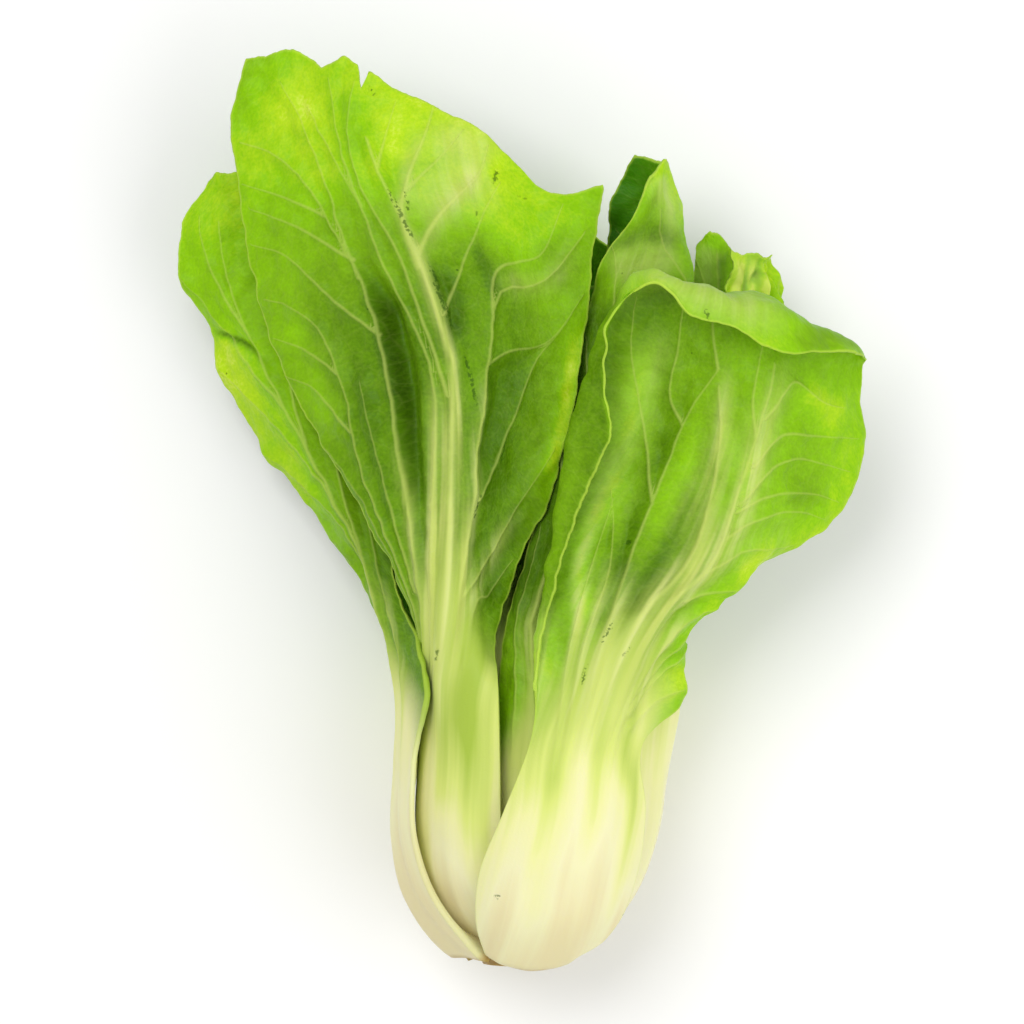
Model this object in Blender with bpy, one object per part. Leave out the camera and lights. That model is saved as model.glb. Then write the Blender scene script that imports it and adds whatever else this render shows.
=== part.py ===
"""A head of bok choy, cut at the root and laid on its back.

The root end points to -Y and the leaf tips to +Y. Each leaf is one closed solid: a fleshy
petiole, curved like part of a ring around the heart, that opens into a thin blade. The
petioles sit in layers around a short cone of stem. All sizes are in millimetres until the
meshes are made.
"""

import bpy
import numpy as np

MM = 0.001

# The bulb that the petioles make together: its axis, and its outer radius along it.
AXIS_HEIGHT = 33.5
AXIS_X_AT_ROOT = -1.0
AXIS_LEAN = 0.083
ROOT_Y = -120.5
BULB_PROFILE = ((-121, 19), (-111, 27), (-100, 32), (-85, 36), (-65, 37), (-46, 38))
UNDERSIDE_FLATTENING = 0.92
LAYER_STEP = 5.0

# How a petiole runs from its foot on the stem to where its blade opens.
PETIOLE_STATIONS = (0.0, 0.08, 0.22, 0.45, 0.72, 1.0)
PETIOLE_SHARE = 0.33
BLADE_SHARE = 0.5
FOOT_ROUNDING = 14

# Wall thicknesses: at the margin, and along the middle from foot to tip.
MARGIN_THICKNESS = 1.4
BLADE_THICKNESS = 0.8
MIDDLE_SHARES = (0.0, 0.06, 0.33, 0.6, 1.0)
MIDDLE_THICKNESS = (3.4, 4.4, 4.0, 2.2, 0.9)
MIDDLE_WIDTHS = (1.1, 1.1, 1.0, 0.4, 0.15)

LEAF_COLUMNS = 9
LEAF_ROWS = 22
TIP_CROWDING = 1.25

# The stem: a cone inside the petioles, cut flat at the root end.
STEM_PROFILE = ((-118.5, 9.5), (-114, 9.2), (-108, 7.8), (-102, 5.6), (-97.5, 2.8))
STEM_SIDES = 24

# Puts the origin on the floor under the middle of the whole head.
TO_ORIGIN = (0.5, 0.6, 0.0)

WHITE = (0.86, 0.88, 0.70, 1.0)
GREEN = (0.22, 0.47, 0.04, 1.0)
DARK_GREEN = (0.10, 0.30, 0.04, 1.0)
YOUNG_GREEN = (0.45, 0.62, 0.12, 1.0)

# Each leaf: its colour, how fleshy it is against a full-grown one, the foot and the top of
# its petiole as (y, angle of the left margin, angle of the right margin), how many degrees
# the right margin swells out between them, the foot's radius, the layers that the left
# margin, the middle and the right margin lie in, and the blade's guide curves, each with its
# place across the leaf from 0, the left margin, to 1, the right margin. Angles turn from +X
# towards +Z. Left and right are as seen from outside the bulb with the tips up.
LEAVES = {
    "front_leaf_right": {
        "colour": GREEN,
        "flesh": 1.0,
        "foot": (-120.5, 118, 28),
        "top": (-60, 94, 43),
        "left_swell": 6.5,
        "right_swell": -4,
        "foot_radius": 15.0,
        "layers": (0.5, 0.0, 0.0),
        "guides": {
            0.0: ((6, -34, 67), (12, -18, 69), (20, 3, 73), (24, 18, 75), (22, 34, 76), (23, 46, 79),
                  (27, 55, 82)),
            0.1: ((5, -34, 65), (9, -9, 65), (13, 18, 67), (18, 37, 70), (24, 52, 74), (30, 60, 77),
                  (34, 57, 83)),
            0.22: ((12, -34, 66), (17, -12, 62), (23, 6, 60), (28, 22, 61), (33, 40, 66), (37, 57, 74),
                   (41, 57, 80), (42, 50, 83)),
            0.4: ((20, -36, 67), (27, -20, 64), (36, 0, 63), (43, 20, 65), (47, 38, 69), (50, 56, 75),
                  (53, 54, 81), (54, 46, 83)),
            0.6: ((28, -42, 65), (36, -28, 65), (48, -14, 66), (57, 4, 67), (63, 28, 69), (67, 51, 73),
                  (68, 49, 79), (67, 40, 81)),
            0.8: ((35, -43, 57), (42, -32, 58), (58, -17, 59), (70, 0, 57), (77, 22, 58), (81, 43, 63),
                  (82, 44, 67), (83, 41, 70)),
            1.0: ((42, -48, 49), (43, -37, 50), (42, -31, 52), (48, -22, 53), (64, -13, 52), (82, -2, 48),
                  (90, 16, 46), (89, 30, 49), (88, 38, 57), (87, 39, 62)),
        },
    },
    "front_leaf_left": {
        "colour": GREEN,
        "flesh": 1.0,
        "foot": (-113, 185, 100),
        "top": (-46, 173, 112),
        "foot_radius": 13.5,
        "layers": (1.2, 1.0, 1.6),
        "guides": {
            0.0: ((-27, -36, 43), (-29, -26, 49), (-35, -13, 49), (-45, 6, 47), (-57, 26, 44),
                  (-69, 54, 42), (-74, 84, 43), (-76, 104, 46), (-72, 118, 50)),
            0.25: ((-25, -28, 54), (-31, -4, 57), (-40, 26, 57), (-49, 56, 55), (-54, 88, 54),
                   (-56, 119, 54)),
            0.5: ((-20, -28, 59), (-18, 0, 63), (-18, 26, 66), (-22, 50, 67), (-31, 76, 66), (-37, 96, 63),
                  (-36, 112, 61)),
            0.72: ((-13, -28, 58), (-8, 4, 59), (-5, 30, 60), (-4, 54, 61), (-8, 78, 61), (-13, 102, 59)),
            0.88: ((-9, -28, 56), (-3, 0, 56), (4, 27, 57), (8, 53, 58), (7, 72, 59), (5, 84, 58)),
            1.0: ((-6, -32, 54), (-2, -16, 54), (7, 3, 55), (13, 26, 57), (17, 52, 58), (19, 70, 58),
                  (21, 85, 58)),
        },
    },
    "outer_leaf_left": {
        "colour": GREEN,
        "flesh": 1.0,
        "foot": (-118, 197, 120),
        "top": (-46, 215, 146),
        "right_swell": 16,
        "foot_radius": 17.0,
        "layers": (-0.1, -0.1, 0.0),
        "guides": {
            0.0: ((-35, -34, 25), (-40, -24, 26), (-52, -6, 23), (-69, 17, 20), (-81, 38, 21),
                  (-84, 50, 24), (-91, 63, 28), (-90, 76, 31), (-83, 88, 33)),
            0.5: ((-36, -32, 34), (-42, -12, 36), (-54, 12, 36), (-67, 36, 34), (-77, 62, 33),
                  (-79, 90, 36)),
            1.0: ((-28, -34, 51), (-32, -23, 43), (-37, 2, 38), (-47, 36, 38), (-56, 64, 37),
                  (-67, 90, 36)),
        },
    },
    "outer_leaf_right": {
        "colour": DARK_GREEN,
        "flesh": 1.0,
        "foot": (-118, 24, -42),
        "top": (-46, 54, -40),
        "foot_radius": 15.5,
        "layers": (1.2, 0.3, 0.0),
        "guides": {
            0.0: ((36, -28, 46), (40, -5, 43), (46, 20, 42), (51, 46, 40), (56, 69, 39)),
            0.5: ((42, -30, 34), (50, -8, 31), (59, 18, 30), (65, 44, 31), (64, 68, 36)),
            1.0: ((38, -32, 17), (49, -14, 14), (61, 6, 13), (70, 28, 16), (70, 50, 22), (67, 67, 30)),
        },
    },
    "inner_leaf_rolled": {
        "colour": DARK_GREEN,
        "flesh": 0.85,
        "foot": (-105, 121, 49),
        "top": (-46, 121, 45),
        "foot_radius": 11.5,
        "layers": (3.0, 2.3, 3.0),
        "guides": {
            0.0: ((-5, -30, 51), (2, -7, 51), (10, 24, 51), (16, 50, 52), (22, 68, 56), (29, 77, 58),
                  (34, 86, 60)),
            0.35: ((2, -30, 57), (9, -8, 56), (17, 22, 55), (25, 48, 56), (32, 66, 58), (36, 78, 59),
                   (38, 91, 57)),
            0.6: ((10, -30, 56), (18, -6, 53), (27, 22, 51), (37, 46, 50), (45, 63, 49), (43, 76, 49),
                  (39, 91, 51)),
            0.8: ((14, -30, 48), (18, -6, 44), (25, 22, 42), (32, 46, 40), (37, 66, 39), (37, 81, 41),
                  (35, 93, 46)),
            1.0: ((17, -30, 42), (13, -8, 38), (14, 19, 37), (18, 44, 36), (22, 65, 36), (24, 82, 38),
                  (30, 94, 43)),
        },
    },
    "inner_leaf_right": {
        "colour": YOUNG_GREEN,
        "flesh": 0.85,
        "foot": (-105, 37, -29),
        "top": (-46, 36, -29),
        "foot_radius": 11.5,
        "layers": (3.0, 2.3, 3.0),
        "guides": {
            0.0: ((22, -28, 42), (33, 0, 37), (41, 30, 33), (45, 54, 32), (46, 71, 34)),
            0.5: ((30, -28, 33), (40, 0, 29), (48, 30, 27), (52, 54, 29), (51, 74, 36)),
            1.0: ((28, -28, 22), (42, 0, 20), (54, 28, 20), (59, 50, 24), (57, 68, 31)),
        },
    },
    "inner_leaf_left": {
        "colour": YOUNG_GREEN,
        "flesh": 0.85,
        "foot": (-105, 227, 133),
        "top": (-46, 228, 133),
        "foot_radius": 11.5,
        "layers": (3.0, 2.3, 3.0),
        "guides": {
            0.0: ((-18, -28, 16), (-29, 0, 15), (-41, 30, 15), (-49, 60, 19), (-45, 84, 26)),
            0.5: ((-23, -28, 35), (-30, 0, 36), (-38, 30, 36), (-43, 62, 36), (-38, 92, 38)),
            1.0: ((-11, -28, 46), (-12, 0, 47), (-15, 30, 47), (-20, 60, 46), (-28, 86, 43)),
        },
    },
    "inner_leaf_back": {
        "colour": YOUNG_GREEN,
        "flesh": 0.85,
        "foot": (-105, -41, -121),
        "top": (-46, -39, -122),
        "foot_radius": 11.5,
        "layers": (3.0, 2.3, 3.0),
        "guides": {
            0.0: ((24, -28, 19), (34, 0, 17), (42, 26, 15), (44, 48, 17), (36, 64, 22)),
            0.5: ((6, -30, 10), (8, 0, 10), (10, 32, 10), (8, 60, 12), (3, 83, 17)),
            1.0: ((-13, -28, 15), (-19, 0, 13), (-26, 30, 12), (-31, 58, 14), (-27, 80, 20)),
        },
    },
    "back_leaf_left": {
        "colour": GREEN,
        "flesh": 1.0,
        "foot": (-119, 246, 203),
        "top": (-46, 268, 202),
        "foot_radius": 15.5,
        "layers": (0.0, 0.0, 1.2),
        "guides": {
            0.0: ((-1, -30, 4), (-3, -4, 4), (-7, 28, 4), (-12, 60, 5), (-20, 83, 8), (-32, 104, 10)),
            0.5: ((-20, -32, 1), (-27, -7, 0), (-35, 25, 0), (-43, 58, 1), (-48, 82, 3), (-51, 107, 9)),
            1.0: ((-33, -32, 14), (-41, -12, 5), (-51, 12, 1), (-60, 38, 0), (-65, 66, 2), (-66, 86, 5),
                  (-62, 103, 10)),
        },
    },
    "back_leaf_right": {
        "colour": GREEN,
        "flesh": 1.0,
        "foot": (-118.5, 312, 252),
        "top": (-46, 330, 250),
        "foot_radius": 15.5,
        "layers": (1.3, 0.4, 1.2),
        "guides": {
            0.0: ((35, -30, 11), (48, -18, 3), (62, -2, 1), (74, 16, 0), (79, 32, 3), (72, 46, 9)),
            0.5: ((19, -34, 2), (29, -11, 0), (40, 10, 0), (50, 30, 2), (59, 51, 8)),
            1.0: ((1, -33, 5), (7, -7, 5), (15, 17, 5), (25, 38, 5), (40, 54, 9)),
        },
    },
    "heart_leaf_upper": {
        "colour": YOUNG_GREEN,
        "flesh": 0.7,
        "foot": (-99, 188, 72),
        "top": (-46, 190, 72),
        "foot_radius": 8.2,
        "layers": (4.0, 3.6, 4.0),
        "guides": {
            0.0: ((-13, -26, 30), (-17, 0, 28), (-19, 28, 27), (-14, 54, 30)),
            0.5: ((-6, -26, 44), (-6, 2, 43), (-6, 32, 41), (-5, 62, 38)),
            1.0: ((4, -26, 42), (2, 0, 40), (2, 28, 37), (1, 52, 35)),
        },
    },
    "heart_leaf_lower": {
        "colour": YOUNG_GREEN,
        "flesh": 0.7,
        "foot": (-99, 20, -108),
        "top": (-46, 15, -110),
        "foot_radius": 8.2,
        "layers": (4.0, 3.6, 4.0),
        "guides": {
            0.0: ((19, -26, 33), (21, 0, 28), (22, 26, 25), (18, 50, 27)),
            0.5: ((10, -26, 20), (9, 0, 19), (7, 30, 19), (5, 58, 23)),
            1.0: ((-4, -26, 20), (-7, 0, 19), (-9, 26, 20), (-6, 50, 24)),
        },
    },
    "heart_leaf_centre": {
        "colour": YOUNG_GREEN,
        "flesh": 0.4,
        "foot": (-95, 150, 30),
        "top": (-56, 150, 30),
        "foot_radius": 5.2,
        "layers": (5.5, 5.2, 5.5),
        "guides": {
            0.0: ((-5, -34, 33), (-7, -10, 31), (-7, 14, 29), (-3, 34, 29)),
            0.5: ((3, -34, 37), (3, -10, 35), (3, 14, 32), (3, 40, 30)),
            1.0: ((10, -34, 33), (12, -10, 31), (12, 14, 29), (8, 34, 29)),
        },
    },
}


def clear_scene():
    for thing in list(bpy.data.objects):
        bpy.data.objects.remove(thing, do_unlink=True)


def smooth_curve(places, points, at):
    """Points at the given places of the smooth curve through points, one place each."""
    places = np.asarray(places, float)
    points = np.asarray(points, float)
    slopes = np.gradient(points, places, axis=0)
    at = np.clip(at, places[0], places[-1])
    index = np.clip(np.searchsorted(places, at, side="right") - 1, 0, len(places) - 2)
    span = (places[index + 1] - places[index])[:, None]
    t = ((at - places[index]) / span[:, 0])[:, None]
    start, end = points[index], points[index + 1]
    into, out = slopes[index] * span, slopes[index + 1] * span
    return (
        start * (1 + 2 * t) * (1 - t) ** 2
        + into * t * (1 - t) ** 2
        + end * t * t * (3 - 2 * t)
        + out * t * t * (t - 1)
    )


def bulb_radius(y):
    ys, radii = zip(*BULB_PROFILE)
    return np.interp(y, ys, radii)


def layer_at(layers, across):
    """The layer at a place across the leaf, on a parabola through margin, middle and margin."""
    left, middle, right = layers
    return (
        left * (2 * across - 1) * (across - 1)
        + middle * 4 * across * (1 - across)
        + right * across * (2 * across - 1)
    )


def petiole_point(leaf, across, share):
    """A point on a petiole's outside: across from margin to margin, share from foot to top."""
    foot_y, foot_left, foot_right = leaf["foot"]
    top_y, top_left, top_right = leaf["top"]
    y = foot_y + (top_y - foot_y) * share
    left = foot_left + (top_left - foot_left) * share
    right = foot_right + (top_right - foot_right) * share
    left += leaf.get("left_swell", 0) * 29 * share ** 2 * (1 - share) ** 3
    right += leaf.get("right_swell", 0) * 4 * share * (1 - share)
    angle = np.radians(left + (right - left) * across)
    full = bulb_radius(y) - LAYER_STEP * layer_at(leaf["layers"], across)
    foot_part = (1 - share) ** FOOT_ROUNDING
    radius = full * (1 - foot_part) + leaf["foot_radius"] * foot_part
    x = AXIS_X_AT_ROOT + AXIS_LEAN * (y - ROOT_Y) + radius * np.cos(angle)
    height = radius * np.sin(angle)
    if height < 0:
        height *= UNDERSIDE_FLATTENING
    return x, y, AXIS_HEIGHT + height


def guide_line(leaf, across, blade_points, along):
    """Points along the whole leaf, petiole and blade, at one place across it."""
    petiole = [petiole_point(leaf, across, share) for share in PETIOLE_STATIONS]
    points = np.array(petiole + list(blade_points), float)
    steps = np.linalg.norm(np.diff(points[len(petiole) - 1:], axis=0), axis=1)
    blade_places = PETIOLE_SHARE + (1 - PETIOLE_SHARE) * np.cumsum(steps) / steps.sum()
    places = [PETIOLE_SHARE * share for share in PETIOLE_STATIONS] + list(blade_places)
    return smooth_curve(places, points, along)


def row_places(rows):
    """Where the rows lie along a leaf, closer together towards the tip."""
    return 1 - (1 - np.linspace(0, 1, rows + 1)) ** TIP_CROWDING


def leaf_surface(leaf, columns, rows):
    """The outside of a leaf as a grid of points, rows from foot to tip."""
    along = row_places(rows)
    across = np.linspace(0, 1, columns + 1)
    guides = leaf["guides"]
    lines = [guide_line(leaf, place, guides[place], along) for place in guides]
    grid = [smooth_curve(list(guides), [line[row] for line in lines], across) for row in range(rows + 1)]
    grid = np.array(grid)
    grid[:, :, 2] = np.maximum(grid[:, :, 2], 0.0)
    return grid


def wall_thickness(leaf, columns, rows):
    """Thickness over a leaf: fleshy along the middle, thin at the margins and in the blade."""
    along = row_places(rows)[:, None]
    off_middle = np.abs(np.linspace(-1, 1, columns + 1))[None, :]
    middle = leaf["flesh"] * np.interp(along, MIDDLE_SHARES, MIDDLE_THICKNESS)
    margin = np.interp(along, (PETIOLE_SHARE, BLADE_SHARE), (MARGIN_THICKNESS, BLADE_THICKNESS))
    width = np.interp(along, MIDDLE_SHARES, MIDDLE_WIDTHS)
    flesh = np.clip(1 - off_middle / width, 0, 1) ** 0.8
    return margin + np.maximum(middle - margin, 0) * flesh


def surface_normals(grid):
    along = np.gradient(grid, axis=0)
    across = np.gradient(grid, axis=1)
    normals = np.cross(across, along)
    return normals / np.linalg.norm(normals, axis=2, keepdims=True)


def shell_faces(columns, rows):
    """Faces of a closed shell: the outer grid, the inner grid, and the rim between them."""
    count = (columns + 1) * (rows + 1)

    def corner(row, column):
        return row * (columns + 1) + column

    faces = []
    for row in range(rows):
        for column in range(columns):
            near, far = corner(row, column), corner(row + 1, column + 1)
            for third in ((near, corner(row, column + 1), far), (near, far, corner(row + 1, column))):
                faces.append(third)
                faces.append(tuple(count + place for place in reversed(third)))
    loop = [corner(0, column) for column in range(columns)]
    loop += [corner(row, columns) for row in range(rows)]
    loop += [corner(rows, column) for column in range(columns, 0, -1)]
    loop += [corner(row, 0) for row in range(rows, 0, -1)]
    for here, there in zip(loop, loop[1:] + loop[:1]):
        faces.append((there, here, count + here, count + there))
    return faces


def plain_material(name, colour, roughness):
    material = bpy.data.materials.new(name)
    material.use_nodes = True
    shader = material.node_tree.nodes["Principled BSDF"]
    shader.inputs["Base Color"].default_value = colour
    shader.inputs["Roughness"].default_value = roughness
    shader.inputs["Metallic"].default_value = 0.0
    return material


def add_solid(name, points, faces, material):
    mesh = bpy.data.meshes.new(name)
    mesh.from_pydata([tuple(point * MM) for point in points + np.array(TO_ORIGIN)], [], faces)
    mesh.shade_smooth()
    mesh.set_sharp_from_angle(angle=np.radians(50))
    mesh.materials.append(material)
    solid = bpy.data.objects.new(name, mesh)
    bpy.context.scene.collection.objects.link(solid)
    return solid


def add_leaf(name, leaf):
    outside = leaf_surface(leaf, LEAF_COLUMNS, LEAF_ROWS)
    thickness = wall_thickness(leaf, LEAF_COLUMNS, LEAF_ROWS)
    inside = outside - surface_normals(outside) * thickness[:, :, None]
    points = np.concatenate([outside.reshape(-1, 3), inside.reshape(-1, 3)])
    material = plain_material(name, leaf["colour"], 0.4)
    add_solid(name, points, shell_faces(LEAF_COLUMNS, LEAF_ROWS), material)


def add_stem():
    """The short cone of stem that carries the petioles, with its flat cut face at the root."""
    turn = np.linspace(0, 2 * np.pi, STEM_SIDES, endpoint=False)
    points = []
    for y, radius in STEM_PROFILE:
        x = AXIS_X_AT_ROOT + AXIS_LEAN * (y - ROOT_Y)
        for angle in turn:
            points.append((x + radius * np.cos(angle), y, AXIS_HEIGHT + radius * np.sin(angle)))
    faces = [tuple(range(STEM_SIDES))]
    for ring in range(len(STEM_PROFILE) - 1):
        for side in range(STEM_SIDES):
            here = ring * STEM_SIDES + side
            there = ring * STEM_SIDES + (side + 1) % STEM_SIDES
            faces.append((there, here, here + STEM_SIDES, there + STEM_SIDES))
    last = (len(STEM_PROFILE) - 1) * STEM_SIDES
    faces.append(tuple(range(last + STEM_SIDES - 1, last - 1, -1)))
    add_solid("stem_base", np.array(points), faces, plain_material("stem_base", WHITE, 0.6))


def main():
    clear_scene()
    for name, leaf in LEAVES.items():
        add_leaf(name, leaf)
    add_stem()


main()
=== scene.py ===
"""The looks of a head of bok choy, cut at the root and laid on its back on a pale floor.

Every leaf is grown again over its CAD solid from the same guide curves, with a thinner blade
and far more points, and gets its midrib, its veins, the quilting between them and a ragged
margin. Lengths in the tables are in millimetres; everything made in the scene is in metres.
"""

import math

import bpy
import numpy as np
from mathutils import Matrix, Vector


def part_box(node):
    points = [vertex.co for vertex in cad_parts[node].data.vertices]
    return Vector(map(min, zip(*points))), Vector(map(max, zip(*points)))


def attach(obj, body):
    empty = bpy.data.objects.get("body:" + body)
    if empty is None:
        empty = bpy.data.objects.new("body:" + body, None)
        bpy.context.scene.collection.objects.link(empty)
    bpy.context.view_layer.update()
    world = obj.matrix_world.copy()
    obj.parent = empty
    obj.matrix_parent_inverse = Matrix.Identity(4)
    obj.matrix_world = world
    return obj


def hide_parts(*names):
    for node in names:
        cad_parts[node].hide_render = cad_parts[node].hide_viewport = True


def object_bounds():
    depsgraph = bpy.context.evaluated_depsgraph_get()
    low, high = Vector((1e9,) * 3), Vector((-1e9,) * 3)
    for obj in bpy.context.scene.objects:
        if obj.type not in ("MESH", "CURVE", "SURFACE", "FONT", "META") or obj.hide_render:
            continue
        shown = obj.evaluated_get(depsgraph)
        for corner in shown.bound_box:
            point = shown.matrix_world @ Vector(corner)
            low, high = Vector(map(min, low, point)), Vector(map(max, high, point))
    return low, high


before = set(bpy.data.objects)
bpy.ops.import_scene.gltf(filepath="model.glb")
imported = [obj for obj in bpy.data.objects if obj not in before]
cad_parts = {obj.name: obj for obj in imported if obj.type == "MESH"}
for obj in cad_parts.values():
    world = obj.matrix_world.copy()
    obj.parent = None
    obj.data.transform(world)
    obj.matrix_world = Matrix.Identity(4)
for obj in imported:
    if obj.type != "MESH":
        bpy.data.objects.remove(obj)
CAD_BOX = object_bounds()

bl_info = {
    "name": "Bok Choy Head",
    "version": (1, 0, 0),
    "blender": (4, 5, 0),
    "location": "3D View > Sidebar > Bok Choy",
    "description": "Grows the leaves, the cut stem and the stage of a head of bok choy",
    "category": "Add Mesh",
}

MM = 0.001

# The bulb that the petioles make together: its axis, and its outer radius along it.
AXIS_HEIGHT = 33.5
AXIS_X_AT_ROOT = -1.0
AXIS_LEAN = 0.083
ROOT_Y = -120.5
BULB_PROFILE = ((-121, 19), (-111, 27), (-100, 32), (-85, 36), (-65, 37), (-46, 38))
UNDERSIDE_FLATTENING = 0.92
LAYER_STEP = 5.0
TO_ORIGIN = (0.5, 0.6, 0.0)

# How a petiole runs from its foot on the stem to where its blade opens: its stations, its share
# of the leaf's length and of its rows of points, and how suddenly its foot turns in.
PETIOLE_STATIONS = (0.0, 0.08, 0.22, 0.45, 0.72, 1.0)
PETIOLE_SHARE = 0.33
PETIOLE_ROWS = 0.22
FOOT_TURN = 14

# How thick a leaf is: its flesh along the middle and that flesh's share of the width, its margins,
# the heel that thickens its foot in to the stem, and the rounding of the foot's end.
MIDDLE_SHARES = (0.0, 0.06, 0.33, 0.6, 1.0)
MIDDLE_THICKNESS = (3.4, 4.4, 4.0, 2.0, 0.6)
MIDDLE_WIDTHS = (1.1, 1.1, 1.0, 0.35, 0.1)
MARGIN_THICKNESS = 1.4
STEM_RADIUS = 10.5
HEEL_SHARE = 0.06
FOOT_ROUND = 3.6

# The outline: how many waves roughen a margin, the length of one at the tip, where along the leaf
# the margins begin to roughen, and the shares that the uneven tip and the trimmed foot take up.
MARGIN_WAVES = 9
TIP_WAVE = 11.0
ROUGH_FROM = 0.36
TIP_PART = 0.14
TRIM_PART = 0.08

# The blade: how far from a vein it has sunk in, and the share in which it takes over from the
# petiole.
QUILT_REACH = 3.5
GREENING_PART = 0.10

# How far past its solid's box a grown leaf may reach.
STRAY_LIMIT = 6.0

# The stage, in metres: the board, the room's light, the lights' places, sides and powers, and the
# camera with its lens and sensor in millimetres.
BOARD_HALF = 6.0
ROOM_STRENGTH = 0.56
LIGHTS = (
    ("soft key", (-0.36, 0.34, 1.12), 0.6, 6.3),
    ("soft fill", (0.75, -0.3, 0.8), 1.1, 5.6),
)
CAMERA_PLACE = (-0.002, 0.001, 1.159)
LENS = 150.0
SENSOR = 36.0

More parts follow.
